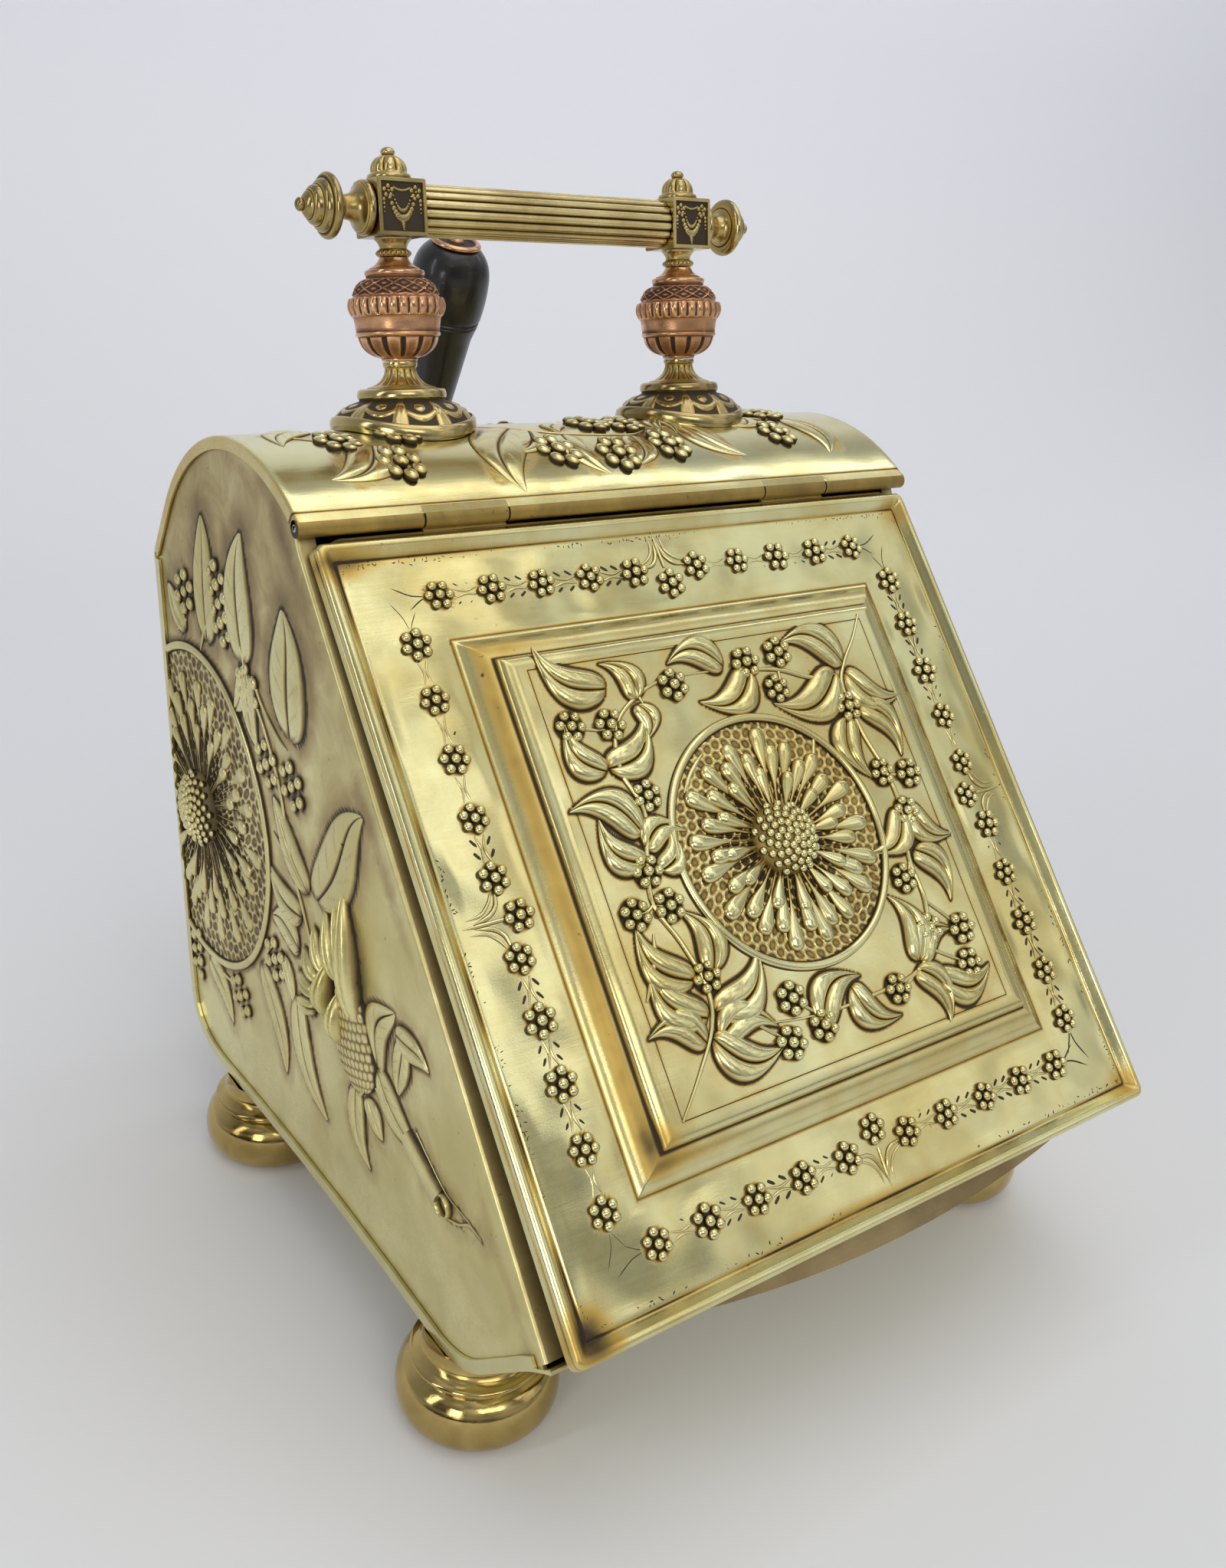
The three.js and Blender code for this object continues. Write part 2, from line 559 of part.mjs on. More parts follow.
// Turned wooden handle: its ball is at 0 and its grip runs down the axis.
function shovelHandle() {
  const ball = 18.25;
  const profile = new THREE.Path().moveTo(0, -88).lineTo(8.7, -88).lineTo(9.4, -80).lineTo(10.2, -65);
  profile.lineTo(14.6, -28).lineTo(16.6, -21.4).lineTo(16, -20.4).lineTo(16.9, -19.4).lineTo(16.3, -18.4);
  profile.lineTo(17.2, -17.2).quadraticCurveTo(ball + 0.4, -8, ball, 0).quadraticCurveTo(ball - 0.4, 9.6, 11.2, 14.2);
  profile.lineTo(0, 14.2);
  return turned(profile, 14);
}

function shovelCap() {
  const profile = new THREE.Path().moveTo(0, 14.5).lineTo(11.2, 14.5).quadraticCurveTo(11.4, 16.6, 9.6, 16.8);
  profile.lineTo(8.6, 15.9).lineTo(3.4, 16.2).quadraticCurveTo(2.4, 18.2, 0, 18.3);
  return turned(profile, 16, 2);
}

// Ferrule, curved shank and the palm that is riveted to the heel of the pan, in the frame of the handle.
function shovelShank() {
  const ferrule = new THREE.Path().moveTo(0, -112).lineTo(6.2, -112).lineTo(6.8, -110.6).lineTo(9.6, -93.2);
  ferrule.lineTo(10.3, -92.2).lineTo(10.3, -90).lineTo(9.6, -88.3).lineTo(0, -88.3);
  const heel = new THREE.Vector3(0, pan.stand - pan.depth / 2, pan.from + pan.length + gap)
    .applyMatrix4(backFrame())
    .sub(new THREE.Vector3(0, shovelBall.y, shovelBall.z))
    .applyAxisAngle(new THREE.Vector3(1, 0, 0), -shovelLean);
  const up = new THREE.Vector3(0, 0, 1)
    .applyAxisAngle(new THREE.Vector3(1, 0, 0), -backLean - shovelLean);
  const neck = new THREE.CubicBezierCurve3(
    new THREE.Vector3(0, 0, -108),
    new THREE.Vector3(0, 0, -122),
    heel.clone().addScaledVector(up, 12),
    heel.clone().addScaledVector(up, 0.8),
  );
  const section = new THREE.Shape().absarc(0, 0, 5, 0, 2 * Math.PI);
  const shank = new THREE.ExtrudeGeometry(section, {
    extrudePath: neck, steps: 6, curveSegments: 4, bevelEnabled: false,
  });
  const palm = cylinder(13, 0, 1.8, 16)
    .applyQuaternion(new THREE.Quaternion().setFromUnitVectors(new THREE.Vector3(0, 0, 1), up))
    .translate(heel.x, heel.y, heel.z);
  return join(turned(ferrule, 12), shank, palm);
}

// Where the back panel's outer face meets the ground plane, and the lean of the back.
function backFrame() {
  const foot = backLow.x - backLow.y * Math.tan(backLean);
  return new THREE.Matrix4().makeTranslation(0, foot, 0).multiply(new THREE.Matrix4().makeRotationX(-backLean));
}

// ---- assembly ----
const scuttle = new THREE.Group();

function add(parent, name, geometry, material, x = 0, y = 0, z = 0) {
  const mesh = new THREE.Mesh(geometry, material);
  mesh.name = name;
  mesh.position.set(x, y, z);
  parent.add(mesh);
  return mesh;
}

function frameAt(x, y, z, tilt) {
  const group = new THREE.Group();
  group.position.set(x, y, z);
  group.rotation.x = tilt;
  scuttle.add(group);
  return group;
}

const sides = [["left", -1], ["right", 1]];

add(scuttle, "floor_sheet", floorSheet(), brass);
add(scuttle, "back_panel", backPanel(), brass);
add(scuttle, "hood", hoodSheet(), brass);
add(scuttle, "hinge_pin", hingePin(), steel, 0, hingeAt.x, hingeAt.y);
for (const [name, side] of sides) add(scuttle, `side_panel_${name}`, sidePanel(side), brass);

const lidFrame = frameAt(0, hingeAt.x, hingeAt.y, slope);
add(lidFrame, "lid", lidPanel(), brass);
add(lidFrame, "front_lip", frontLip(), darkBrass);

for (const { name, x, y } of feetPlaces()) {
  add(scuttle, `foot_${name}`, bunFoot(), brass, x, y, 0);
  add(scuttle, `foot_nut_${name}`, hexNut(footNut.corner, foot.stud + gap, footNut.height), steel, x, y, footNut.from);
}

const handleFrame = frameAt(0, hood.y, hood.z, -pedestalLean);
const onHood = hood.radius + gap;
for (const [name, side] of sides) {
  const x = side * pedestalX;
  const block = heights.block / 2;
  const rodSpan = [hood.radius - sheet - 8, onHood + blockLow + block - tenon.length - 0.8];
  add(handleFrame, `pedestal_base_${name}`, pedestalBase(), brass, x, 0, onHood);
  add(handleFrame, `urn_${name}`, urn(), copper, x, 0, onHood);
  add(handleFrame, `collar_${name}`, collar(), brass, x, 0, onHood);
  add(handleFrame, `handle_block_${name}`, handleBlock(), brass, x, 0, onHood + barHeight);
  add(handleFrame, `pedestal_rod_${name}`, cylinder(rod.radius, ...rodSpan, 12), steel, x);
  add(handleFrame, `pedestal_nut_${name}`, hexNut(5.8, rod.hole, 4), steel, x, 0, hood.radius - sheet - 4.6);
  add(handleFrame, `top_finial_${name}`, topFinial(), brass, x, 0, onHood + blockLow + heights.block);
  const finial = add(handleFrame, `end_finial_${name}`, endFinial(), brass, x + side * block, 0, onHood + barHeight);
  finial.rotation.y = (side * Math.PI) / 2;
}
add(handleFrame, "handle_bar", handleBar(), brass, 0, 0, onHood + barHeight);

add(scuttle, "coal_liner", linerTub(), japan);
for (const [name, side] of sides) {
  const ear = add(scuttle, `liner_ear_${name}`, linerEar(), steel, 0, bail.y, bail.z);
  if (side < 0) ear.rotation.y = Math.PI;
}
add(scuttle, "liner_bail", linerBail(), steel, 0, bail.y, bail.z);

const onBack = frameAt(0, backLow.x - backLow.y * Math.tan(backLean), 0, -backLean);
add(onBack, "shovel_holder", shovelHolder(), brass);
for (const { name, x, z } of rivetPlaces()) add(onBack, `holder_rivet_${name}`, rivet(), brass, x, 0, z);
add(onBack, "shovel_pan", shovelPan(), brass);

const shovelFrame = frameAt(0, shovelBall.y, shovelBall.z, shovelLean);
add(shovelFrame, "shovel_handle", shovelHandle(), ebony);
add(shovelFrame, "shovel_cap", shovelCap(), copper);
add(shovelFrame, "shovel_shank", shovelShank(), brass);

// The part stands on z = 0 with its origin under the middle of its bounding box.
scuttle.updateMatrixWorld(true);
const extent = new THREE.Box3().setFromObject(scuttle, true);
const part = new THREE.Group();
scuttle.position.y = -(extent.min.y + extent.max.y) / 2;
part.add(scuttle);
console.log("y shift", scuttle.position.y.toFixed(3), "hinge", hingeAt.x.toFixed(3), hingeAt.y.toFixed(3));

export default part;
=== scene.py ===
import json
import math

import bmesh
import bpy
import numpy as np
from mathutils import Matrix, Vector
from mathutils.kdtree import KDTree


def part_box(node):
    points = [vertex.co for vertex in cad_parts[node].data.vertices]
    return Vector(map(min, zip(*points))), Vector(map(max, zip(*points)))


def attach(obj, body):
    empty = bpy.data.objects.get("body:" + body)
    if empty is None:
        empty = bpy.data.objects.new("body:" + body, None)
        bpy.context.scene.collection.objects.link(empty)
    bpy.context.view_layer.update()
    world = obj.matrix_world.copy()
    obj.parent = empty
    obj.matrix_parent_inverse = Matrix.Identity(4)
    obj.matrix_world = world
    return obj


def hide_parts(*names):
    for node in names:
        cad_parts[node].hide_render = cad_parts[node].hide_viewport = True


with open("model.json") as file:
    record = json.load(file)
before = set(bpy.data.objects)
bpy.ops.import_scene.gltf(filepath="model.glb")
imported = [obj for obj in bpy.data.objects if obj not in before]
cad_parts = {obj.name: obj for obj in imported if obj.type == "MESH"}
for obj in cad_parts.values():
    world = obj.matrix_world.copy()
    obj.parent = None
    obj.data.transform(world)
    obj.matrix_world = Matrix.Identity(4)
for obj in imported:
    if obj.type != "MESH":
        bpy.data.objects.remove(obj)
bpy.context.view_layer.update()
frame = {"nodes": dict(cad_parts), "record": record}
nodes = frame["nodes"]
print("stage: frame loaded,", len(nodes), "solids")

# Places of the piece groups, sizes in millimetres
case = {
    "hingeY": 25.658, "hingeZ": 313.843,  # hinge axis, y counted from the case's own zero
    "slope": 49.7,
    "hoodY": 80.4, "hoodZ": 240.4, "hoodRadius": 95.0, "hoodFrom": 35.2, "hoodTo": 126.7,
    "backTopY": 173.8, "backTopZ": 272.8, "backLowY": 155.9, "backLowZ": 62.0,
    "wrapHalf": 151.0, "panelHalf": 149.5,
    "pedestalX": 71.8, "pedestalLean": 8.6,
    "ballY": 184.5, "ballZ": 387.5, "shovelLean": 16.6,
    "footX": 132.3, "footFrontY": -85.0, "footRearY": 104.0,
}
pinLow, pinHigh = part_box("hinge_pin")
shiftY = (pinLow.y + pinHigh.y) * 500 - case["hingeY"]


def place(x, y, z, tilt=0.0):
    return Matrix.Translation((x, y + shiftY, z)) @ Matrix.Rotation(math.radians(tilt), 4, "X")


wholeCase = place(0, 0, 0)
onLid = place(0, case["hingeY"], case["hingeZ"], case["slope"])
onHandle = place(0, case["hoodY"], case["hoodZ"], -case["pedestalLean"])
onShovel = place(0, case["ballY"], case["ballZ"], case["shovelLean"])


# Shader graphs
class Wire:
    def __init__(self, tree, socket):
        self.tree, self.socket = tree, socket

    def maths(self, operation, *others, clamp=False):
        node = self.tree.nodes.new("ShaderNodeMath")
        node.operation, node.use_clamp = operation, clamp
        for socket, value in zip(node.inputs, (self, *others)):
            join(self.tree, socket, value)
        return Wire(self.tree, node.outputs[0])

    def __add__(self, other):
        return self.maths("ADD", other)

    def __sub__(self, other):
        return self.maths("SUBTRACT", other)

    def __rsub__(self, other):
        node = self.tree.nodes.new("ShaderNodeMath")
        node.operation = "SUBTRACT"
        join(self.tree, node.inputs[0], other)
        join(self.tree, node.inputs[1], self)
        return Wire(self.tree, node.outputs[0])

    def __mul__(self, other):
        return self.maths("MULTIPLY", other)

    def clamped(self):
        return self.maths("ADD", 0.0, clamp=True)


def join(tree, socket, value):
    if isinstance(value, Wire):
        tree.links.new(value.socket, socket)
    elif isinstance(value, tuple) and len(value) == 3 and socket.type == "RGBA":
        socket.default_value = (*value, 1)
    else:
        socket.default_value = value


class Graph:
    def __init__(self, name):
        self.material = bpy.data.materials.new(name)
        self.material.use_nodes = True
        self.tree = self.material.node_tree
        self.shader = self.tree.nodes["Principled BSDF"]

    def make(self, kind, settings=None, sockets=None, output=0):
        node = self.tree.nodes.new("ShaderNode" + kind)
        for key, value in (settings or {}).items():
            setattr(node, key, value)
        for key, value in (sockets or {}).items():
            join(self.tree, node.inputs[key], value)
        return Wire(self.tree, node.outputs[output])

    def noise(self, scale, detail=2.0, rough=0.5, vector=None, distortion=0.0):
        vector = vector or self.make("TexCoord", output="Object")
        sockets = {"Vector": vector, "Scale": scale, "Detail": detail, "Roughness": rough}
        return self.make("TexNoise", {}, {**sockets, "Distortion": distortion})

    def stretched(self, sizes, turn=(0, 0, 0)):
        at = self.make("TexCoord", output="Object")
        return self.make("Mapping", {}, {"Vector": at, "Scale": sizes, "Rotation": turn})

    def mixed(self, share, first, second):
        return self.make("Mix", {"data_type": "RGBA"}, {0: share, 6: first, 7: second}, output=2)

    def between(self, value, low, high):
        sockets = {"Value": value, "From Min": low, "From Max": high}
        return self.make("MapRange", {"interpolation_type": "SMOOTHSTEP"}, sockets)

    def bump(self, height, distance, strength=1.0, below=None):
        sockets = {"Height": height, "Distance": distance, "Strength": strength}
        if below:
            sockets["Normal"] = below
        return self.make("Bump", {}, sockets)

    def finish(self, sockets):
        for key, value in sockets.items():
            join(self.tree, self.shader.inputs[key], value)
        return self.material


# What every metal shares: how fine its grain, spots and scratches are, as noise scales.
wear = {
    "grain": 1900.0, "spots": 340.0, "scratch": (38, 620, 620), "scratchTurn": (0.5, 0.3, 0.9),
    "spotDirt": 0.35, "grainRough": 0.08, "scratchRough": 0.1,
}


def wornMetal(name, look):
    g = Graph(name)
    # the layer holds patina, and painted light where some is painted in: the lid's golden glow and the side's
    # darker top
    age = g.make("Attribute", {"attribute_name": "patina"}, {}, output="Fac")
    cloud = g.noise(look["cloudScale"], 3.0, 0.55)
    mottle = g.noise(look["mottleScale"], 4.0, 0.6, distortion=0.6)
    grain = g.noise(wear["grain"], 2.0, 0.6)
    spots = g.between(g.noise(wear["spots"], 2.0, 0.5), 0.68, 0.8) * g.between(cloud, 0.45, 0.62)
    scratch = g.noise(1.0, 3.0, 0.7, g.stretched(wear["scratch"], wear["scratchTurn"]))
    blotch = (mottle - 0.5) * look["mottle"] * (age + 0.35)
    # darkness from patina, blotches and spots, together with the painted glow and shade that the layer
    # carries
    dirtAndPaintedLight = (age * look["patina"] + blotch + spots * wear["spotDirt"]).clamped()
    tone = g.mixed(g.between(cloud + (mottle - 0.5) * 0.4, 0.3, 0.72), look["bright"], look["dull"])
    golden = g.mixed(g.between(dirtAndPaintedLight, 0.06, 0.45), tone, look["warm"])
    color = g.mixed(g.between(dirtAndPaintedLight, 0.3, 0.85), golden, look["dark"])
    rough = cloud * look["roughSwing"] + look["rough"] + dirtAndPaintedLight * look["roughDirt"]
    rough = rough + (grain - 0.5) * wear["grainRough"] + (scratch - 0.5) * wear["scratchRough"]
    waves = g.bump(g.noise(look["waveScale"], 1.0, 0.4), look["wave"])
    fine = g.bump(scratch + grain * 0.6 + mottle * 0.6, look["fine"], 0.6, waves)
    shine = (1.0 - dirtAndPaintedLight * 0.75).clamped()
    return g.finish({"Base Color": color, "Metallic": shine, "Roughness": rough.clamped(), "Normal": fine})


brassLook = {
    "bright": (0.78, 0.75, 0.42), "dull": (0.66, 0.56, 0.24), "warm": (0.62, 0.42, 0.10),
    "dark": (0.045, 0.03, 0.014), "cloudScale": 14.0, "mottleScale": 60.0, "mottle": 0.35, "patina": 1.0,
    "rough": 0.12, "roughSwing": 0.12, "roughDirt": 0.4, "waveScale": 26.0, "wave": 0.0012, "fine": 0.00004,
}
finishes = {
    "sheetBrass": brassLook,
    "sideBrass": {
        **brassLook, "bright": (0.84, 0.77, 0.40), "dull": (0.66, 0.58, 0.25), "warm": (0.42, 0.31, 0.13),
        "rough": 0.2, "roughSwing": 0.16, "mottle": 0.6,
    },
    "barBrass": {
        **brassLook, "bright": (0.88, 0.74, 0.38), "dull": (0.50, 0.38, 0.16), "warm": (0.42, 0.29, 0.1),
    },
    "castBrass": {
        **brassLook, "bright": (0.60, 0.48, 0.22), "dull": (0.30, 0.22, 0.09),
        "rough": 0.13, "wave": 0.0002, "mottle": 0.55,
    },
    # painted shade: the feet get a darker, more orange brass than the other cast pieces, standing in for the
    # dark surroundings their fronts mirror
    "footBrassShaded": {
        **brassLook, "bright": (0.58, 0.44, 0.17), "dull": (0.32, 0.22, 0.07),
        "rough": 0.06, "roughSwing": 0.08, "wave": 0.0002,
    },
    "lipBrass": {
        **brassLook, "bright": (0.40, 0.31, 0.16), "dull": (0.26, 0.19, 0.1),
        "rough": 0.4, "mottle": 1.2, "fine": 0.0003,
    },
    "warmCopper": {
        **brassLook, "bright": (0.84, 0.50, 0.28), "dull": (0.52, 0.27, 0.13), "warm": (0.42, 0.2, 0.1),
        "dark": (0.045, 0.022, 0.014), "rough": 0.15, "wave": 0.0002, "mottle": 0.9, "fine": 0.00008,
    },
    "drawnSteel": {
        **brassLook, "bright": (0.56, 0.55, 0.53), "dull": (0.4, 0.39, 0.37), "warm": (0.3, 0.24, 0.18),
        "dark": (0.05, 0.04, 0.035), "rough": 0.3, "wave": 0.0001, "mottle": 0.6,
    },
}
metals = {name: wornMetal(name, look) for name, look in finishes.items()}


def turnedEbony():
    look = {"color": (0.009, 0.009, 0.011), "worn": (0.02, 0.016, 0.014), "rough": 0.26}
    g = Graph("turnedEbony")
    fibre = g.noise(1.0, 5.0, 0.6, g.stretched((420, 420, 45)))
    rub = g.noise(55.0, 3.0, 0.6)
    color = g.mixed(g.between(fibre * 0.5 + rub * 0.5, 0.5, 0.66), look["color"], look["worn"])
    rough = rub * 0.16 + look["rough"] + (fibre - 0.5) * 0.12
    fine = g.bump(fibre, 0.00006)
    return g.finish({"Base Color": color, "Roughness": rough, "Normal": fine, "Coat Weight": 0.25})


def japanned():
    look = {"color": (0.02, 0.019, 0.018), "dust": (0.11, 0.1, 0.09), "rough": 0.42}
    g = Graph("japannedSteel")
    soot = g.noise(30.0, 5.0, 0.65)
    grit = g.noise(700.0, 3.0, 0.6)
    color = g.mixed(g.between(soot + (grit - 0.5) * 0.3, 0.5, 0.75), look["color"], look["dust"])
    rough = soot * 0.3 + look["rough"]
    return g.finish({"Base Color": color, "Roughness": rough, "Normal": g.bump(grit, 0.0001)})


woodFinish = turnedEbony()
linerFinish = japanned()

slotFinish = {
    "case_brass": metals["sheetBrass"],
    "lid_brass": metals["sheetBrass"],
    "lip_brass": metals["lipBrass"],
    "cast_brass": metals["castBrass"],
    "copper": metals["warmCopper"],
    "steel": metals["drawnSteel"],
    "japanned_steel": linerFinish,
    "ebonised_wood": woodFinish,
}
for part in frame["record"]["subparts"]:
    mesh = nodes[part["node"]].data
    mesh.materials.clear()
    mesh.materials.append(slotFinish[part["material_slot"]])
for name in ("side_panel_left", "side_panel_right"):
    nodes[name].data.materials[0] = metals["sideBrass"]
print("stage: finishes made")

# Mesh building
def placed(name, data):
    item = bpy.data.objects.new(name, data)
    bpy.context.scene.collection.objects.link(item)
    return item


def addLayer(mesh, title, values):
    kind, key = ("FLOAT", "value") if np.ndim(values) == 1 else ("FLOAT_VECTOR", "vector")
    layer = mesh.attributes.new(title, kind, "POINT")
    layer.data.foreach_set(key, np.asarray(values).astype(np.float32).ravel())


# Faces of a net whose last column meets its first, and the numbers of its points.
def loopedFaces(rows, around):
    index = np.arange(rows * around).reshape(rows, around)
    after = np.roll(index, -1, 1)
    quads = np.stack([index[:-1], index[1:], after[1:], after[:-1]], -1)
    return index, quads.reshape(-1, 4).tolist()


# Darkness that fades away on both sides of zero.
def glow(distance, width):
    return np.exp(-((distance / width) ** 2))


def eased(share):
    return share * share * (3 - 2 * share)


# a shell's darkness layer holds patina, and on the lid and sides painted light as well
class Shell:  # points, faces and patina of one piece, in its own flat frame
    def __init__(self):
        self.points, self.faces, self.patina = [], [], []

    def add(self, points, faces, patina=0.0):
        start = len(self.points)
        points = np.asarray(points, float).reshape(-1, 3)
        self.points.extend(points)
        self.faces.extend([tuple(int(i) + start for i in face) for face in faces])
        self.patina.extend(np.broadcast_to(np.asarray(patina, float).ravel(), (len(points),)))

    # A net of points with rows and columns. Its rim is carried down to a flat underside, so it is closed.
    def addNet(self, net, patina, sink):
        rows, columns = net.shape[:2]
        index = np.arange(rows * columns).reshape(rows, columns)
        a, b, c, d = index[:-1, :-1], index[:-1, 1:], index[1:, 1:], index[1:, :-1]
        faces = [tuple(f) for f in np.stack([a, b, c, d], -1).reshape(-1, 4)]
        loop = [*index[0, :-1], *index[:-1, -1], *index[-1, :0:-1], *index[:0:-1, 0]]
        flat = net.reshape(-1, 3)
        under = flat[loop].copy()
        under[:, 2] = sink
        base, count = len(flat), len(loop)
        for i in range(count):
            k = (i + 1) % count
            faces.append((loop[i], base + i, base + k, loop[k]))
        faces.append(tuple(base + i for i in reversed(range(count))))
        age = np.concatenate([np.asarray(patina, float).ravel(), np.ones(count)])
        self.add(np.vstack([flat, under]), faces, age)


def makePiece(name, shell, wrap, body, slotName, finish, replaces=(), sharp=38.0, flip=False):
    points = wrap(np.array(shell.points)) / 1000
    mesh = bpy.data.meshes.new(name)
    faces = [face[::-1] for face in shell.faces] if flip else shell.faces
    mesh.from_pydata(points, [], faces)
    mesh.shade_smooth()
    mesh.set_sharp_from_angle(angle=math.radians(sharp))
    addLayer(mesh, "patina", np.clip(np.array(shell.patina), 0, 1))
    mesh.materials.append(finish)
    dress(placed(name, mesh), body, slotName, replaces)


def dress(piece, body, slotName, replaces=()):
    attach(piece, body)
    if replaces:
        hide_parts(*replaces)


def wrapFlat(matrix):
    m = np.array(matrix)
    return lambda points: points @ m[:3, :3].T + m[:3, 3]


def neighbourSum(edges, values):
    count = len(values)
    first, second = edges[:, 0], edges[:, 1]
    return np.bincount(first, values[second], count) + np.bincount(second, values[first], count)


# Hollows are dark: how far each point lies under the mean of its neighbours.
def hollowAge(shell, rounds, depth):
    points = np.array(shell.points)
    edges = set()
    for face in shell.faces:
        for i, j in zip(face, face[1:] + face[:1]):
            edges.add((min(i, j), max(i, j)))
    edges = np.array(list(edges))
    normals = np.zeros_like(points)
    for face in shell.faces:
        a, b, c = points[face[0]], points[face[1]], points[face[2]]
        normals[list(face)] += np.cross(b - a, c - a)
    normals /= np.linalg.norm(normals, axis=1)[:, None] + 1e-12
    smooth, count = points.copy(), len(points)
    weight = np.bincount(edges.ravel(), minlength=count)[:, None] + 1e-9
    for _ in range(rounds):
        total = np.stack([neighbourSum(edges, smooth[:, k]) for k in range(3)], -1)
        smooth = 0.3 * smooth + 0.7 * total / weight
    sunk = ((smooth - points) * normals).sum(1)
    return np.clip(sunk / depth, 0, 1)


# Profiles turned about the Z axis
class Outline:
    def __init__(self, r, z):
        self.at = [(r, z)]

    def to(self, *points):
        for r1, z1 in points:
            r0, z0 = self.at[-1]
            steps = max(1, int(math.dist((r0, z0), (r1, z1)) / 1.6))
            self.at += [(r0 + (r1 - r0) * i / steps, z0 + (z1 - z0) * i / steps) for i in range(1, steps + 1)]
        return self

    def curve(self, c, p, steps=9):
        start = self.at[-1]
        for i in range(1, steps + 1):
            t = i / steps
            ends = zip(start, c, p)
            self.at.append(tuple((1 - t) ** 2 * s + 2 * t * (1 - t) * m + t * t * e for s, m, e in ends))
        return self


# The ripple gives how far each point stands out and how dark it is, from radius, height and angle.
def turnedShell(outline, around, ripple, age):
    profile = np.array(outline.at)
    shell = Shell()
    angle = np.arange(around) * 2 * math.pi / around
    r, z = profile[:, 0][:, None], profile[:, 1][:, None]
    swell, sunk = ripple(r, z, angle[None, :]) if ripple else (np.zeros((len(profile), around)),) * 2
    radius = np.where(r > 1e-6, r + swell, 0)
    net = np.stack([radius * np.cos(angle), radius * np.sin(angle), np.broadcast_to(z, radius.shape)], -1)
    poles = [i for i in (0, len(profile) - 1) if profile[i, 0] < 1e-6]
    rows = [i for i in range(len(profile)) if i not in poles]
    index = {row: k * around for k, row in enumerate(rows)}
    faces = []
    for low, high in zip(rows[:-1], rows[1:]):
        for j in range(around):
            k = (j + 1) % around
            faces.append((index[low] + j, index[low] + k, index[high] + k, index[high] + j))
    points = list(net[rows].reshape(-1, 3))
    extra = sunk[rows].ravel()
    if not poles:  # a bored piece: its profile comes back to its start
        before, last = index[rows[-2]], index[rows[-1]]
        ends = [(before + j, before + (j + 1) % around, (j + 1) % around, j) for j in range(around)]
        faces = faces[:-around] + ends
        points, extra = points[:last], extra[:last]
    for row in poles:
        points.append(net[row, 0])
        extra = np.append(extra, 0)
        tip, ring = len(points) - 1, index[rows[0] if row == 0 else rows[-1]]
        for j in range(around):
            k = (j + 1) % around
            faces.append((tip, ring + k, ring + j) if row == 0 else (tip, ring + j, ring + k))
    shell.add(points, faces, 0)
    shell.patina = list(np.clip(hollowAge(shell, *age) + extra, 0, 1))
    return shell


# Repousse ornament, drawn flat: X and Y on the sheet, Z out of it
leafSize = {"rows": 46, "columns": 21, "veins": 5, "height": 2.3}


# The net of a leaf and its patina. Bend bows it to one side, flick turns its tip.
def leafNet(base, tip, width, height=leafSize["height"], bend=0.0, flick=0.0, veins=leafSize["veins"]):
    rows, columns = leafSize["rows"], leafSize["columns"]
    base, tip = np.array(base, float), np.array(tip, float)
    length = np.linalg.norm(tip - base)
    along = (tip - base) / length
    across = np.array([-along[1], along[0]])
    s = np.linspace(0.012, 0.988, rows)[:, None]
    q = np.linspace(-1, 1, columns)[None, :]
    a = np.abs(q)
    half = width / 2 * 2.21 * s**0.45 * (1 - s) ** 0.75
    centre = width * (bend * np.sin(math.pi * s) + flick * s**5)
    lobe = 1 - np.abs(2 * a**0.85 - 1) ** 2.6
    crown = np.sin(math.pi * s**0.75) ** 0.55
    lines = glow(((s - 0.3 * a) * veins) % 1.0 - 0.5, 0.1)
    vein = lines * np.clip(6 * a - 0.6, 0, 1) * np.clip(5 - 6 * a, 0, 1) * np.clip(6 - 7 * s, 0, 1)
    z = height * crown * (0.08 + 0.92 * lobe) * (1 - 0.04 * vein)
    z = np.where(a > 0.999, -0.1, z)
    side = centre + half * q
    x = base[0] + along[0] * s * length + across[0] * side
    y = base[1] + along[1] * s * length + across[1] * side
    z = np.broadcast_to(z, x.shape)
    edge = glow(1 - a, 0.11) + glow(a, 0.07) + 0.3 * vein + glow(s, 0.06) * 0.6
    return np.stack([x, y, z], -1), np.clip(edge, 0, 1)


def addLeaf(shell, base, tip, width, **more):
    net, age = leafNet(base, tip, width, **more)
    shell.addNet(net, age, -0.5)


def smoothPath(points, steps=8):
    p = np.array([(*q, 0.0)[:3] for q in points], float)
    p = np.vstack([2 * p[0] - p[1], p, 2 * p[-1] - p[-2]])
    out = []
    for a, b, c, d in zip(p, p[1:], p[2:], p[3:]):
        for t in np.linspace(0, 1, steps, endpoint=False):
            square, cube = (2 * a - 5 * b + 4 * c - d) * t**2, (3 * b - a - 3 * c + d) * t**3
            out.append(0.5 * (2 * b + (c - a) * t + square + cube))
    return np.array([*out, p[-2]])


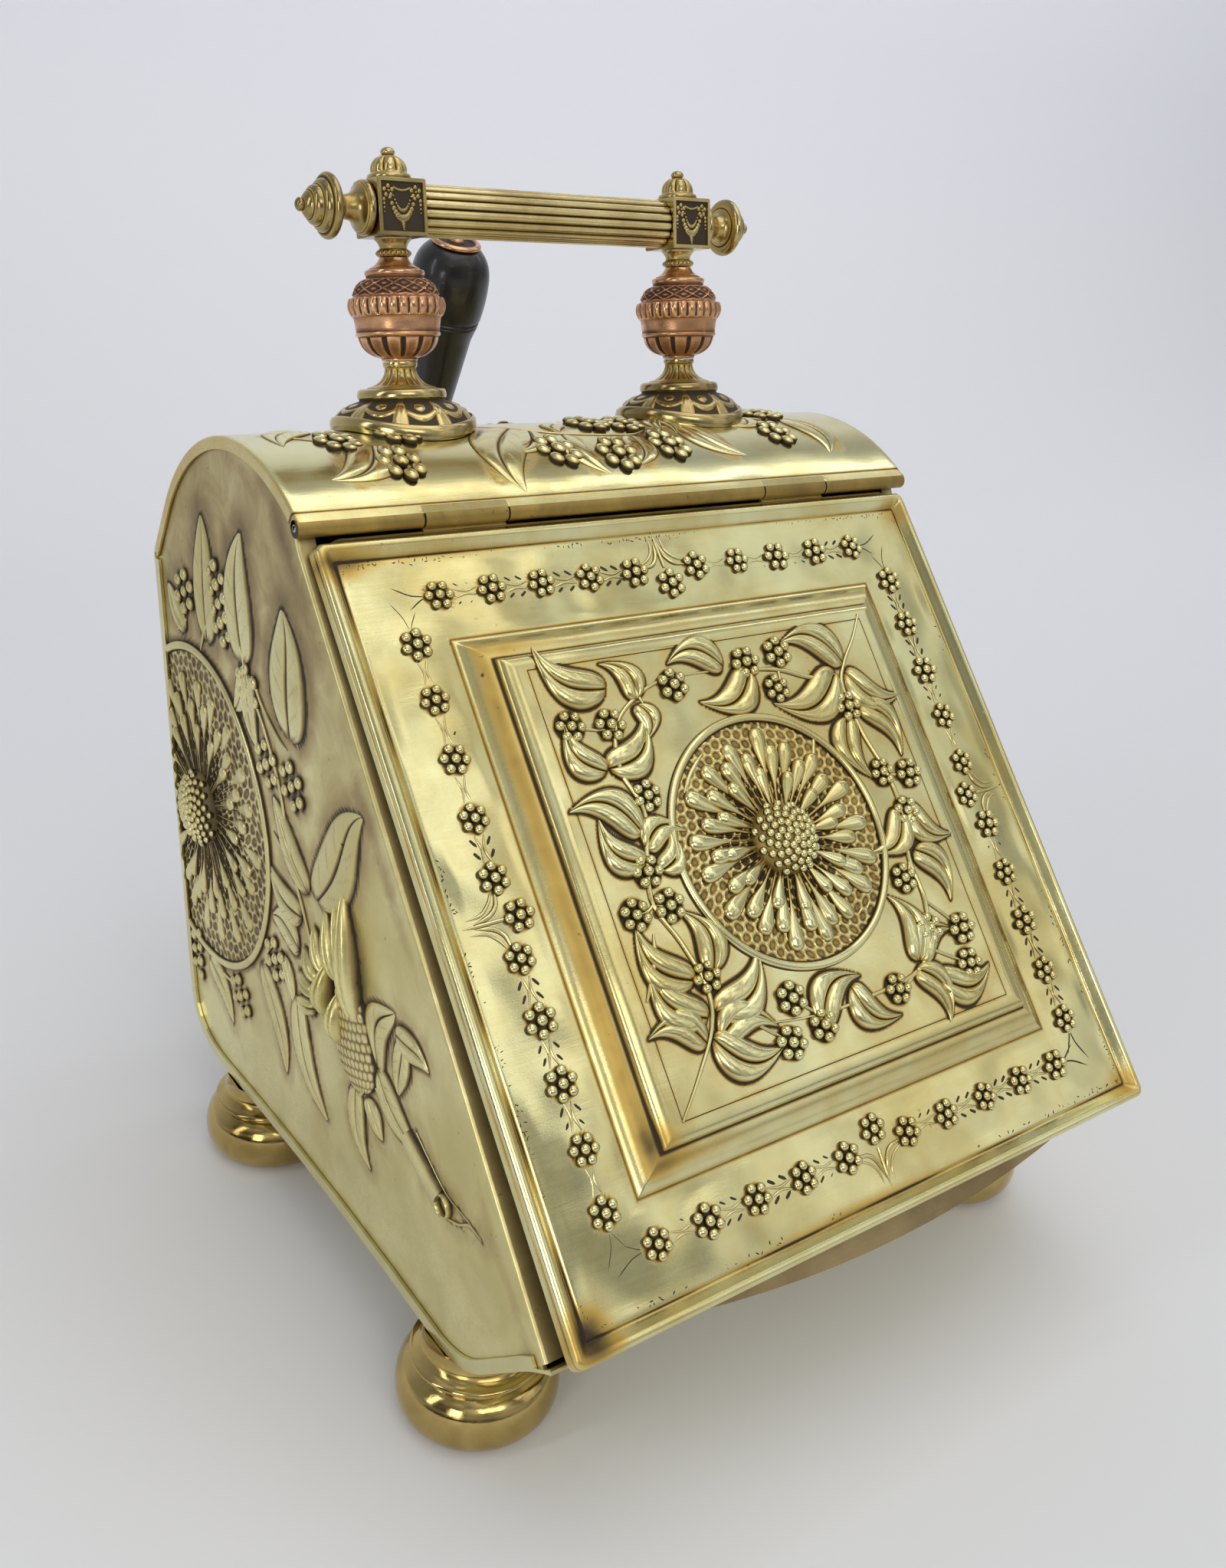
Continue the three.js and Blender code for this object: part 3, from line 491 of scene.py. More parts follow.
# A rib raised along a path, thinner at the ends that are asked for.
def addRib(shell, path, width, height, taper, sides, dark, steps):
    at = smoothPath(path, steps)
    run = np.gradient(at, axis=0)
    run /= np.linalg.norm(run[:, :2], axis=1)[:, None] + 1e-9
    across = np.stack([-run[:, 1], run[:, 0], np.zeros(len(at))], -1)
    t = np.linspace(0, 1, len(at))
    opening = taper[0] + (1 - taper[0]) * t / 0.25
    closing = taper[1] + (1 - taper[1]) * (1 - t) / 0.25
    scale = np.minimum(1, np.minimum(opening, closing))
    q = np.linspace(-1, 1, sides)
    net = at[:, None, :] + across[:, None, :] * (q[None, :, None] * width / 2 * scale[:, None, None])
    lift = height * scale[:, None] * np.sqrt(np.clip(1 - q[None, :] ** 2, 0, 1)) - 0.06
    net[..., 2] += lift
    age = dark * glow(1 - np.abs(q), 0.25)[None, :] + np.zeros_like(lift)
    shell.addNet(net[:, ::-1], age, -0.5)


# A line cut into the sheet, made as a dark fillet a hair above it.
def addCut(shell, path, width, taper, steps=8):
    before = len(shell.patina)
    addRib(shell, path, width, 0.22, taper, 3, 0, steps)
    shell.patina[before:] = [1.0] * (len(shell.patina) - before)


def addRing(shell, centre, radius, width, height, dark, around, sides):
    angle = np.arange(around) * 2 * math.pi / around
    q = np.linspace(-1, 1, sides)
    r = radius + q[None, :] * width / 2
    z = height * np.sqrt(np.clip(1 - q**2, 0, 1))[None, :] + np.zeros_like(angle)[:, None] - 0.05
    net = np.stack([centre[0] + r * np.cos(angle)[:, None], centre[1] + r * np.sin(angle)[:, None], z], -1)
    feet = [net[:, edge] * [1, 1, 0] - [0, 0, 0.6] for edge in (0, -1)]
    age = dark * glow(1 - np.abs(q), 0.25)[None, :] + np.zeros_like(z)
    index = np.arange(around * sides).reshape(around, sides)
    inner, outer = around * sides + np.arange(around), around * (sides + 1) + np.arange(around)
    faces = []
    for i in range(around):
        k = (i + 1) % around
        faces += [(index[i, j], index[i, j + 1], index[k, j + 1], index[k, j]) for j in range(sides - 1)]
        faces.append((index[i, 0], index[k, 0], inner[k], inner[i]))
        faces.append((inner[i], inner[k], outer[k], outer[i]))
        faces.append((outer[i], outer[k], index[k, -1], index[i, -1]))
    points = np.vstack([net.reshape(-1, 3), *feet])
    shell.add(points, faces, np.concatenate([age.ravel(), np.ones(2 * around)]))


# Geometry nodes
class Nodes:
    def __init__(self, name):
        self.tree = bpy.data.node_groups.new(name, "GeometryNodeTree")
        self.tree.interface.new_socket("Geometry", in_out="INPUT", socket_type="NodeSocketGeometry")
        self.start = self.tree.nodes.new("NodeGroupInput")
        self.names = {}

    def number(self, name, value, kind="Float"):
        socket = self.tree.interface.new_socket(name, in_out="INPUT", socket_type="NodeSocket" + kind)
        if kind not in ("Material", "Object"):
            socket.default_value = value
        self.names[name] = socket.identifier
        return self.start.outputs[name]

    def make(self, kind, settings=None, sockets=None):
        node = self.tree.nodes.new(kind)
        for key, value in (settings or {}).items():
            setattr(node, key, value)
        for key, value in (sockets or {}).items():
            if isinstance(value, bpy.types.NodeSocket):
                self.tree.links.new(value, node.inputs[key])
            else:
                node.inputs[key].default_value = value
        return node

    def finish(self, geometry, material):
        self.tree.interface.new_socket("Geometry", in_out="OUTPUT", socket_type="NodeSocketGeometry")
        real = self.make("GeometryNodeRealizeInstances", {}, {"Geometry": geometry})
        sockets = {"Geometry": real.outputs[0], "Material": material}
        painted = self.make("GeometryNodeSetMaterial", {}, sockets)
        end = self.tree.nodes.new("NodeGroupOutput")
        self.tree.links.new(painted.outputs[0], end.inputs[0])
        return self


# Runs a tree on a cloud of places, and leaves a plain mesh.
def grow(name, pattern, values, wrap, places, body, slotName, finish, spins=None, sizes=None, limit=None):
    places = np.array([(*p, 0.0)[:3] for p in places], float)
    tiny = 0.01  # a step on the sheet, to find which way it faces
    here, there, over = wrap(places), wrap(places + [tiny, 0, 0]), wrap(places + [0, 0, tiny])
    spots = bpy.data.meshes.new(name + "Places")
    spots.from_pydata(here / 1000, [], [])
    facing = np.zeros((len(places), 3))
    for i in range(len(places)):
        out = Vector(over[i] - here[i]).normalized()
        side = Vector(there[i] - here[i]).normalized()
        spin = 0.0 if spins is None else math.radians(spins[i])
        basis = Matrix((side, out.cross(side), out)).transposed() @ Matrix.Rotation(spin, 3, "Z")
        facing[i] = basis.to_euler()
    addLayer(spots, "facing", facing)
    addLayer(spots, "size", np.ones(len(places)) if sizes is None else sizes)
    holder = placed(name + "Places", spots)
    modifier = holder.modifiers.new("grow", "NODES")
    modifier.node_group = pattern.tree
    for key, value in {**values, "Finish": finish}.items():
        modifier[pattern.names[key]] = value
    depsgraph = bpy.context.evaluated_depsgraph_get()
    mesh = bpy.data.meshes.new_from_object(holder.evaluated_get(depsgraph))
    mesh.name = name
    holder.modifiers.remove(modifier)
    bpy.data.objects.remove(holder)
    if limit:
        flat = np.empty(len(mesh.vertices) * 3)
        mesh.vertices.foreach_get("co", flat)
        mesh.vertices.foreach_set("co", (limit(flat.reshape(-1, 3) * 1000) / 1000).ravel())
    mesh.shade_smooth()
    mesh.set_sharp_from_angle(angle=math.radians(60))
    dress(placed(name, mesh), body, slotName)


def onEachPlace(n, instance):
    facing = n.make("GeometryNodeInputNamedAttribute", {"data_type": "FLOAT_VECTOR"}, {"Name": "facing"})
    size = n.make("GeometryNodeInputNamedAttribute", {"data_type": "FLOAT"}, {"Name": "size"})
    sockets = {"Points": n.start.outputs[0], "Instance": instance}
    sockets.update({"Rotation": facing.outputs[0], "Scale": size.outputs[0]})
    return n.make("GeometryNodeInstanceOnPoints", {}, sockets).outputs[0]


# Dark at the foot, clear at the top.
def darkAtFoot(n, geometry, low, high):
    position = n.make("GeometryNodeInputPosition")
    split = n.make("ShaderNodeSeparateXYZ", {}, {0: position.outputs[0]})
    span = {"Value": split.outputs["Z"], "From Min": low, "From Max": high, "To Min": 1.0, "To Max": 0.0}
    share = n.make("ShaderNodeMapRange", {"interpolation_type": "SMOOTHSTEP"}, span)
    layer = {"Geometry": geometry, "Name": "patina", "Value": share.outputs[0]}
    kind = {"data_type": "FLOAT", "domain": "POINT"}
    return n.make("GeometryNodeStoreNamedAttribute", kind, layer).outputs[0]


def flattenedBall(n, segments, rings, radius, tall):
    ball = n.make("GeometryNodeMeshUVSphere", {}, {"Segments": segments, "Rings": rings, "Radius": radius})
    high = n.make("ShaderNodeCombineXYZ", {}, {"X": 1.0, "Y": 1.0, "Z": tall})
    sockets = {"Geometry": ball.outputs[0], "Scale": high.outputs[0]}
    return n.make("GeometryNodeTransform", {}, sockets).outputs[0]


def berryTree():
    n = Nodes("berryClusters")
    radius, ring = n.number("Berry radius", 0.0022), n.number("Ring radius", 0.0045)
    tall, count, long = n.number("Height", 0.95), n.number("Around", 6, "Int"), n.number("Long", 1.0)
    finish = n.number("Finish", None, "Material")
    top = n.make("ShaderNodeMath", {"operation": "MULTIPLY"}, {0: radius, 1: 0.55})
    ball = darkAtFoot(n, flattenedBall(n, 16, 10, radius, tall), 0.0, top.outputs[0])
    circle = n.make("GeometryNodeMeshCircle", {}, {"Vertices": count, "Radius": ring})
    around = n.make("GeometryNodeInstanceOnPoints", {}, {"Points": circle.outputs[0], "Instance": ball})
    lift = n.make("ShaderNodeMath", {"operation": "MULTIPLY"}, {0: radius, 1: 0.3})
    up = n.make("ShaderNodeCombineXYZ", {}, {"Z": lift.outputs[0]})
    middle = n.make("GeometryNodeTransform", {}, {"Geometry": ball, "Translation": up.outputs[0]})
    cluster = n.make("GeometryNodeJoinGeometry")
    for part in (around.outputs[0], middle.outputs[0]):
        n.tree.links.new(part, cluster.inputs[0])
    stretch = n.make("ShaderNodeCombineXYZ", {}, {"X": long, "Y": 1.0, "Z": 1.0})
    drawn = n.make("GeometryNodeTransform", {}, {"Geometry": cluster.outputs[0], "Scale": stretch.outputs[0]})
    return n.finish(onEachPlace(n, drawn.outputs[0]), finish)


def beadTree():
    n = Nodes("beads")
    radius, tall = n.number("Bead radius", 0.0015), n.number("Height", 0.9)
    finish = n.number("Finish", None, "Material")
    top = n.make("ShaderNodeMath", {"operation": "MULTIPLY"}, {0: radius, 1: 0.5})
    ball = darkAtFoot(n, flattenedBall(n, 12, 8, radius, tall), 0.0, top.outputs[0])
    return n.finish(onEachPlace(n, ball), finish)


# One object set on every place, such as a petal, a stud or a tick.
def scatterTree():
    n = Nodes("scatter")
    thing = n.number("Thing", None, "Object")
    finish = n.number("Finish", None, "Material")
    info = n.make("GeometryNodeObjectInfo", {"transform_space": "ORIGINAL"}, {"Object": thing})
    return n.finish(onEachPlace(n, info.outputs["Geometry"]), finish)


berries, beads, scatter = berryTree(), beadTree(), scatterTree()
print("stage: node trees built")

# Body, slot and finish of the pieces that go together
lidPart = ("lid", "lid_brass", metals["sheetBrass"])
hoodPart = ("root", "case_brass", metals["sheetBrass"])
sidePart = ("root", "case_brass", metals["sideBrass"])
castPart = ("root", "cast_brass", metals["castBrass"])

# Feet
foot = {"radius": 31.2, "top": 37.7, "stud": 3.0, "studTop": 45.6}


def footOutline():
    o = Outline(0, 0).to((8, 0), (20, 0))
    o.curve((foot["radius"], 1.5), (foot["radius"], 12.5), 14).curve((foot["radius"], 21.5), (25.2, 25.0), 14)
    o.curve((24.0, 25.6), (24.2, 26.4), 4).curve((26.4, 26.5), (26.2, 27.8), 5)
    o.curve((25.8, 28.9), (24.6, 29.0), 4).curve((19.5, 31.0), (20.4, foot["top"]), 12)
    return o.to((foot["stud"], foot["top"]), (foot["stud"], foot["studTop"]), (0, foot["studTop"]))


def footRings(r, z, angle):
    lines = sum(glow(z - at, 0.35) for at in (4.6, 21.2, 31.6, 36.2)) + 0 * angle
    return -0.12 * lines, 0.3 * lines + 0.12 * np.clip((6 - z) / 6, 0, 1)


footShell = turnedShell(footOutline(), 96, footRings, (4, 0.5))
for end, y in (("front", case["footFrontY"]), ("rear", case["footRearY"])):
    for side, sign in (("left", -1), ("right", 1)):
        wrap = wrapFlat(place(sign * case["footX"], y, 0))
        name = f"foot{end.title()}{side.title()}"
        makePiece(name, footShell, wrap, "root", "cast_brass", metals["footBrassShaded"], (f"foot_{end}_{side}",))


# Pedestals
pedestal = {"bore": 2.6, "base": 25.5, "urn": 65.0, "collar": 72.3, "block": 21.0, "gap": 0.3, "onHood": 95.3}
blockLow = pedestal["collar"] + pedestal["gap"]
barHeight = blockLow + pedestal["block"] / 2


def baseOutline():
    bore = pedestal["bore"]
    o = Outline(bore, 0).to((9, 0), (29.3, 0), (29.6, 1.2)).curve((29.9, 3.6), (29.2, 4.6), 5)
    o.curve((28.6, 5.5), (27.9, 5.3), 4).to((27.2, 4.9)).curve((24.6, 8.6), (17.6, 10.4), 26)
    o.to((17.2, 11.1), (17.9, 11.6)).curve((18.3, 13.0), (17.6, 14.6), 5)
    o.to((16.6, 15.2), (14.0, 15.4), (13.6, 15.9)).curve((6.8, 17.5), (6.3, 23.2), 12)
    return o.curve((7.2, 23.8), (6.9, pedestal["base"]), 5).to((bore, pedestal["base"]), (bore, 0))


# The skirt carries upright leaves with pearls and swags between them, and the trumpet above it is fluted.
def baseRipple(r, z, angle):
    skirt = np.clip((r - 17.4) / 0.8, 0, 1) * np.clip((27.9 - r) / 0.6, 0, 1) * (z > 4.7) * (z < 10.6)
    reach = (r - 17.5) / 9.8
    turn = np.abs(((angle * 9 / math.pi) % 2) - 1)
    leafHalf = 0.34 * np.sqrt(np.clip(reach, 0, 1)) + 0.03
    leaf = np.clip(1 - np.abs(turn - 1) / leafHalf, 0, 1) ** 0.5 * (reach > 0.05)
    vein = glow(turn - 1, 0.06)
    pearl = np.sqrt(np.clip(1 - ((turn / 0.30) ** 2 + ((reach - 0.42) / 0.20) ** 2), 0, 1))
    swag = glow(reach - 0.80 + 0.35 * turn**2, 0.07) * (turn < 0.75)
    raised = np.clip(leaf * (1 - 0.4 * vein) + pearl + swag, 0, 1) * skirt
    trumpet = np.clip((z - 15.7) / 1.2, 0, 1) * np.clip((23.0 - z) / 0.8, 0, 1) * (r < 15)
    flute = trumpet * np.abs(np.sin(7 * angle)) ** 0.6
    swell = 0.9 * raised - 0.1 * r * trumpet * (1 - flute)
    return swell, 0.95 * skirt * (1 - raised) ** 1.3 + 0.85 * trumpet * (1 - flute) ** 1.3 - 0.4 * raised


# The foot of a pedestal follows the curve of the hood.
def bentOverHood(wrap):
    radius = pedestal["onHood"] - pedestal["gap"]

    def bent(points):
        share = eased(np.clip((12 - points[:, 2]) / 7, 0, 1))
        drop = np.sqrt(radius**2 - points[:, 1] ** 2) - radius
        return wrap(points + np.stack([0 * drop, 0 * drop, share * drop], -1))

    return bent


def urnOutline():
    bore, low = pedestal["bore"], pedestal["base"] + pedestal["gap"]
    o = Outline(bore, low).to((6.9, low)).curve((7.4, low + 0.5), (7.2, low + 1.1), 3)
    o.curve((15.4, 28.8), (16.0, 35.2), 18)
    o.curve((17.2, 35.5), (16.9, 36.6), 4).to((16.6, 37.0), (17.3, 42.0)).curve((17.5, 42.9), (18.2, 43.1), 4)
    o.curve((20.6, 46.5), (18.8, 49.8), 12).to((17.6, 50.1), (16.9, 50.6))
    o.curve((16.3, 54.8), (12.1, 57.2), 26).to((11.5, 57.3), (11.4, 58.2))
    o.curve((12.3, 58.9), (11.7, 60.2), 5).to((10.2, 60.7), (9.9, 61.2))
    return o.curve((7, 62.2), (5.8, pedestal["urn"]), 7).to((bore, pedestal["urn"]), (bore, low))


# Petals round the cup, reeds round the rim, and a lattice of beads over the dome.
def urnRipple(r, z, angle):
    cup = np.clip((z - 27.2) / 1.0, 0, 1) * np.clip((35.2 - z) / 1.0, 0, 1) * (r > 5)
    lobe = np.abs(np.sin(6.5 * angle))
    petal = np.clip((lobe - 0.28) / 0.25, 0, 1)
    scoop = glow(lobe - 1, 0.35) * np.clip((34.6 - z) / 2.5, 0, 1)
    rim = np.clip((z - 43.2) / 0.8, 0, 1) * np.clip((49.8 - z) / 0.8, 0, 1) * (r > 17)
    reed = np.abs(np.sin(14 * angle)) ** 0.7
    dome = np.clip((z - 50.8) / 0.5, 0, 1) * np.clip((57.0 - z) / 0.5, 0, 1) * (r > 8)
    up, turn = (z - 50.9) / 6.2, angle * 12 / (2 * math.pi)
    lattice = [np.abs(((turn + lean * up * 1.5 + 0.5) % 1.0) - 0.5) for lean in (-1, 1)]
    beaded = np.clip(sum(glow(line, 0.075) for line in lattice), 0, 1) * dome
    bead = 0.5 + 0.5 * np.sin(angle * 96) * np.sin(z * 5.5)
    stud = np.exp(-((lattice[0] - 0.5) ** 2 + (lattice[1] - 0.5) ** 2) / 0.02) * dome
    beaded = np.clip(beaded + stud, 0, 1)
    swell = cup * (0.9 * petal - 0.8 - 0.45 * scoop) - rim * 1.1 * (1 - reed)
    swell = swell + beaded * (0.3 + 0.75 * bead) - 0.2 * dome
    sunk = cup * (0.9 * (1 - petal) + 0.25 * scoop) + rim * 0.9 * (1 - reed) ** 1.4
    sunk = sunk + dome * (0.75 - 0.95 * beaded * (0.5 + 0.5 * bead))
    return swell, sunk + 0.12 * (z < 43)


def collarOutline():
    bore, low, high = pedestal["bore"], pedestal["urn"] + pedestal["gap"], pedestal["collar"]
    o = Outline(bore, low).to((5.8, low)).curve((8.4, low + 1.4), (5.9, low + 2.8), 10).to((5.4, low + 3.2))
    return o.curve((5.5, low + 5.0), (7.3, high - 0.5), 8).to((7.4, high), (bore, high), (bore, low))


def collarRipple(r, z, angle):
    ring = glow(z - 66.7, 0.9) * (r > 4.5)
    notch = 1 - np.abs(np.sin(10 * angle)) ** 0.7
    return -0.6 * ring * notch, 0.8 * ring * notch


def finialOutline():
    o = Outline(0, -5).to((4.7, -5), (4.7, 0.3), (9.6, 0.3), (10.1, 0.8)).curve((10.6, 1.8), (9.9, 2.8), 5)
    o.to((9.2, 3.2), (9.0, 3.7)).curve((4.4, 5.5), (4.6, 10.5), 14).curve((5.2, 13.0), (7.6, 13.8), 8)
    o.to((8.0, 13.9), (8.1, 14.4)).curve((10.9, 14.2), (11.9, 15.6), 7).curve((12.5, 16.7), (11.8, 17.6), 6)
    o.curve((11.3, 18.2), (10.4, 18.3), 3).to((9.9, 18.4), (9.8, 19.0)).curve((9.2, 20.6), (7.7, 20.9), 6)
    o.to((7.5, 21.0), (7.4, 21.7)).curve((7.3, 23.4), (5.6, 24.1), 6).to((5.2, 24.3), (5.0, 25.0))
    o.curve((3.6, 26.4), (2.0, 26.9), 6).curve((3.1, 28.0), (2.0, 29.0), 6)
    return o.curve((1.2, 29.8), (0, 29.8), 5)


def finialRings(r, z, angle):
    lines = sum(glow(z - at, 0.3) for at in (3.4, 14.1, 18.35, 21.1, 24.35, 27.0)) + 0 * angle
    return 0 * lines, 0.75 * lines + 0.14 * glow(z - 8.5, 3.5)


def topOutline():
    o = Outline(0, -4).to((2.2, -4), (2.2, 0.3), (8.4, 0.3))
    o.curve((9.0, 1.2), (8.2, 2.0), 5).to((7.3, 2.1), (7.1, 2.6))
    o.curve((7.6, 5.4), (5.4, 7.6), 12).curve((3.8, 8.9), (2.1, 9.1), 6).curve((3.3, 9.7), (2.6, 11.0), 6)
    return o.curve((1.6, 12.2), (0, 12.1), 6)


def topRipple(r, z, angle):
    dome = np.clip((z - 2.6) / 0.6, 0, 1) * np.clip((9.1 - z) / 1.4, 0, 1)
    groove = 1 - np.abs(np.sin(4 * angle)) ** 0.45
    return -0.2 * r * dome * groove, 0.85 * dome * groove + 0.5 * glow(z - 9.1, 0.4)


# Node name: outline, ripple, points round, slot and finish.
turnedPieces = {
    "pedestal_base": (baseOutline, baseRipple, 288, "cast_brass", "castBrass"),
    "urn": (urnOutline, urnRipple, 288, "copper", "warmCopper"),
    "collar": (collarOutline, collarRipple, 120, "cast_brass", "castBrass"),
}
block = {"border": 1.9, "recess": 0.8, "rounding": 0.35, "slope": 0.25}


# A rounded cube with a sunk panel at the front and back.
def handleBlock(sign, side):
    half = pedestal["block"] / 2
    shape = bmesh.new()
    bmesh.ops.create_cube(shape, size=2 * half)
    bmesh.ops.bevel(shape, geom=shape.edges[:], offset=block["rounding"], segments=3, affect="EDGES")
    shape.normal_update()
    flats = [f for f in shape.faces if f.calc_area() > half * half]
    panels = [f for f in flats if abs(f.normal.y) > 0.9]
    bmesh.ops.inset_individual(shape, faces=panels, thickness=block["border"] - block["rounding"], depth=0)
    bmesh.ops.inset_individual(shape, faces=panels, thickness=block["slope"], depth=-block["recess"])
    shell = Shell()
    shape.verts.index_update()
    points = np.array([v.co for v in shape.verts])
    sunk = (np.abs(points) < [half - 0.9, half - 0.5, half - 0.9]).all(axis=1)
    shell.add(points, [[v.index for v in f.verts] for f in shape.faces], sunk * 1.0)
    shape.free()
    for face in (-1, 1):
        festoon(shell, face, half - block["recess"])
    at = onHandle @ Matrix.Translation((sign * case["pedestalX"], 0, pedestal["onHood"] + barHeight))
    makePiece(f"handleBlock{side.title()}", shell, wrapFlat(at), *castPart, (f"handle_block_{side}",))


rosette = {"x": 5.9, "z": 5.5, "petals": 5, "petal": 0.95, "ring": 1.75}


# Beads hung from two rosettes and a string, on the front or back panel of a block.
def festoon(shell, face, depth):
    panel = Shell()
    for side in (-1, 1):
        centre = (side * rosette["x"], rosette["z"])
        for k in range(rosette["petals"]):
            angle = math.radians(90 + 360 / rosette["petals"] * k)
            out = (rosette["ring"] * math.cos(angle), rosette["ring"] * math.sin(angle))
            addBoss(panel, (centre[0] + out[0], centre[1] + out[1]), rosette["petal"], 0.8)
        addBoss(panel, centre, 0.6, 1.2)
    for k in range(15):
        x = (k - 7) / 7
        size = 1.6 - 0.75 * abs(x)
        addBoss(panel, (x * 5.4, -4.3 + 7.4 * abs(x) ** 2.2), size, 0.95)
        addBoss(panel, (x * 3.8, -1.4 + 5.2 * abs(x) ** 2.2), 0.5 * size, 0.7)
        addBoss(panel, (x * 3.4, 5.9 + 0.9 * x * x), 0.5, 0.6)
    # short tails outside the rosettes and a drop under the middle
    for step in range(4):
        for side in (-1, 1):
            addBoss(panel, (side * 7.9, 2.4 - 1.5 * step), 0.8 - 0.12 * step, 0.7)
        addBoss(panel, (0, -5.6 - 0.9 * step), 1.0 - 0.18 * step, 0.8)
    points = np.array(panel.points)
    turned = np.stack([-face * points[:, 0], face * (depth + points[:, 2]), points[:, 1]], -1)
    shell.add(turned, panel.faces, panel.patina)


def addBoss(shell, centre, radius, height):
    around, rings = 12, [(1.0, -0.1), (0.96, 0.35), (0.78, 0.7), (0.45, 0.93)]
    angle = np.arange(around) * 2 * math.pi / around
    points = []
    for share, rise in rings:
        x, y = centre[0] + radius * share * np.cos(angle), centre[1] + radius * share * np.sin(angle)
        points.append(np.stack([x, y, np.full(around, height * rise)], -1))
    points = np.vstack([*points, [[centre[0], centre[1], height]]])
    faces = [tuple(reversed(range(around)))]
    for i in range(len(rings) - 1):
        for j in range(around):
            k = (j + 1) % around
            faces.append((i * around + j, i * around + k, (i + 1) * around + k, (i + 1) * around + j))
    top, last = len(points) - 1, (len(rings) - 1) * around
    faces += [(last + j, last + (j + 1) % around, top) for j in range(around)]
    age = np.concatenate([np.full(around, 0.9), np.full(around, 0.35), np.zeros(2 * around + 1)])
    shell.add(points, faces, age)


for side, sign in (("left", -1), ("right", 1)):
    standing = onHandle @ Matrix.Translation((sign * case["pedestalX"], 0, pedestal["onHood"]))
    for node, (outline, ripple, around, slotName, finish) in turnedPieces.items():
        shell = turnedShell(outline(), around, ripple, (3, 0.35))
        wrap = wrapFlat(standing)
        if node == "pedestal_base":
            wrap = bentOverHood(wrap)
        name = node.replace("pedestal_base", "base") + side.title()
        makePiece(name, shell, wrap, "root", slotName, metals[finish], (f"{node}_{side}",), 50)
    handleBlock(sign, side)
    top = standing @ Matrix.Translation((0, 0, blockLow + pedestal["block"]))
    knob = turnedShell(topOutline(), 96, topRipple, (3, 0.35))
    makePiece("topFinial" + side.title(), knob, wrapFlat(top), *castPart, (f"top_finial_{side}",), 50)
    outward = standing @ Matrix.Translation((sign * pedestal["block"] / 2, 0, barHeight))
    outward = outward @ Matrix.Rotation(sign * math.pi / 2, 4, "Y")
    knob = turnedShell(finialOutline(), 96, finialRings, (3, 0.35))
    makePiece("endFinial" + side.title(), knob, wrapFlat(outward), *castPart, (f"end_finial_{side}",), 50)

bar = {"radius": 10.0, "reeds": 16, "sink": 1.5, "steps": 12}


def reededBar():
    half = case["pedestalX"] - pedestal["block"] / 2 - pedestal["gap"]
    around = bar["reeds"] * bar["steps"]
    xs = np.array([-half, -half + 0.5, *np.linspace(-half + 2, half - 2, 24), half - 0.5, half])
    angle = np.arange(around) * 2 * math.pi / around
    wave = np.abs(np.sin(angle * bar["reeds"] / 2))
    crown = np.clip((wave - 0.12) / 0.88, 0, 1) ** 0.38
    radius = bar["radius"] - bar["sink"] * (1 - crown)
    ends = np.where(np.abs(xs) > half - 0.2, 0.35, 0.0)[:, None]
    y, z = (radius - ends) * np.cos(angle), (radius - ends) * np.sin(angle)
    net = np.stack([xs[:, None] + 0 * radius, y, z], -1)
    index = np.arange(len(xs) * around).reshape(len(xs), around)
    faces = []
    for i in range(len(xs) - 1):
        for j in range(around):
            k = (j + 1) % around
            faces.append((index[i, j], index[i, k], index[i + 1, k], index[i + 1, j]))
    faces += [tuple(reversed(index[0])), tuple(index[-1])]
    shell = Shell()
    age = np.clip(1.3 * (1 - crown) ** 1.2, 0, 1) + 0.25 * glow(half - np.abs(xs), 1.5)[:, None]
    shell.add(net, faces, age)
    wrap = wrapFlat(onHandle @ Matrix.Translation((0, 0, pedestal["onHood"] + barHeight)))
    makePiece("handleBar", shell, wrap, "root", "cast_brass", metals["barBrass"], ("handle_bar",), 40)


reededBar()


# Shovel handle
def gripOutline():
    o = Outline(0, -88).to((8.7, -88), (9.4, -80), (10.2, -65), (14.6, -28), (16.3, -21.6))
    o.curve((16.6, -20.9), (16.0, -20.4), 3)
    o.curve((16.9, -19.9), (16.8, -19.3), 3).curve((16.4, -18.8), (16.3, -18.4), 3)
    o.curve((17.2, -18.0), (17.3, -17.2), 3).curve((18.7, -8), (18.25, 0), 12)
    return o.curve((17.8, 9.6), (11.2, 14.2), 12).to((0, 14.2))


def capOutline():
    o = Outline(0, 14.5).to((11.2, 14.5)).curve((12.2, 15.3), (11.5, 16.2), 5)
    o.curve((10.6, 17.0), (9.6, 16.7), 5)
    return o.to((8.6, 15.6), (4.6, 15.5)).curve((3.6, 15.8), (3.3, 16.6), 4).curve((2.4, 18.3), (0, 18.3), 7)


def capHollow(r, z, angle):
    hollow = np.clip((8.9 - r) / 1.2, 0, 1) * np.clip((r - 3.0) / 0.8, 0, 1) + 0 * angle
    return 0 * hollow, 0.9 * hollow


wrap = wrapFlat(onShovel)
shell = turnedShell(gripOutline(), 96, None, (3, 0.6))
makePiece("shovelGrip", shell, wrap, "shovel", "ebonised_wood", woodFinish, ("shovel_handle",), 50)
shell = turnedShell(capOutline(), 96, capHollow, (3, 0.5))
makePiece("shovelCap", shell, wrap, "shovel", "copper", metals["warmCopper"], ("shovel_cap",), 50)
print("stage: turned pieces made")

# Lid: its own frame has X across, Y up the slope, Z out of it, the hinge axis through 0
lid = {
    "half": 147.0, "top": -6.4, "bottom": -295.2, "middle": -150.8,
    "field": -0.96, "fieldSpan": (9.5, 40.5, 24), "panel": 8.04, "panelBy": 59.0, "sunk": 7.4,
    "sideSteps": 170, "cornerSteps": 7,
}
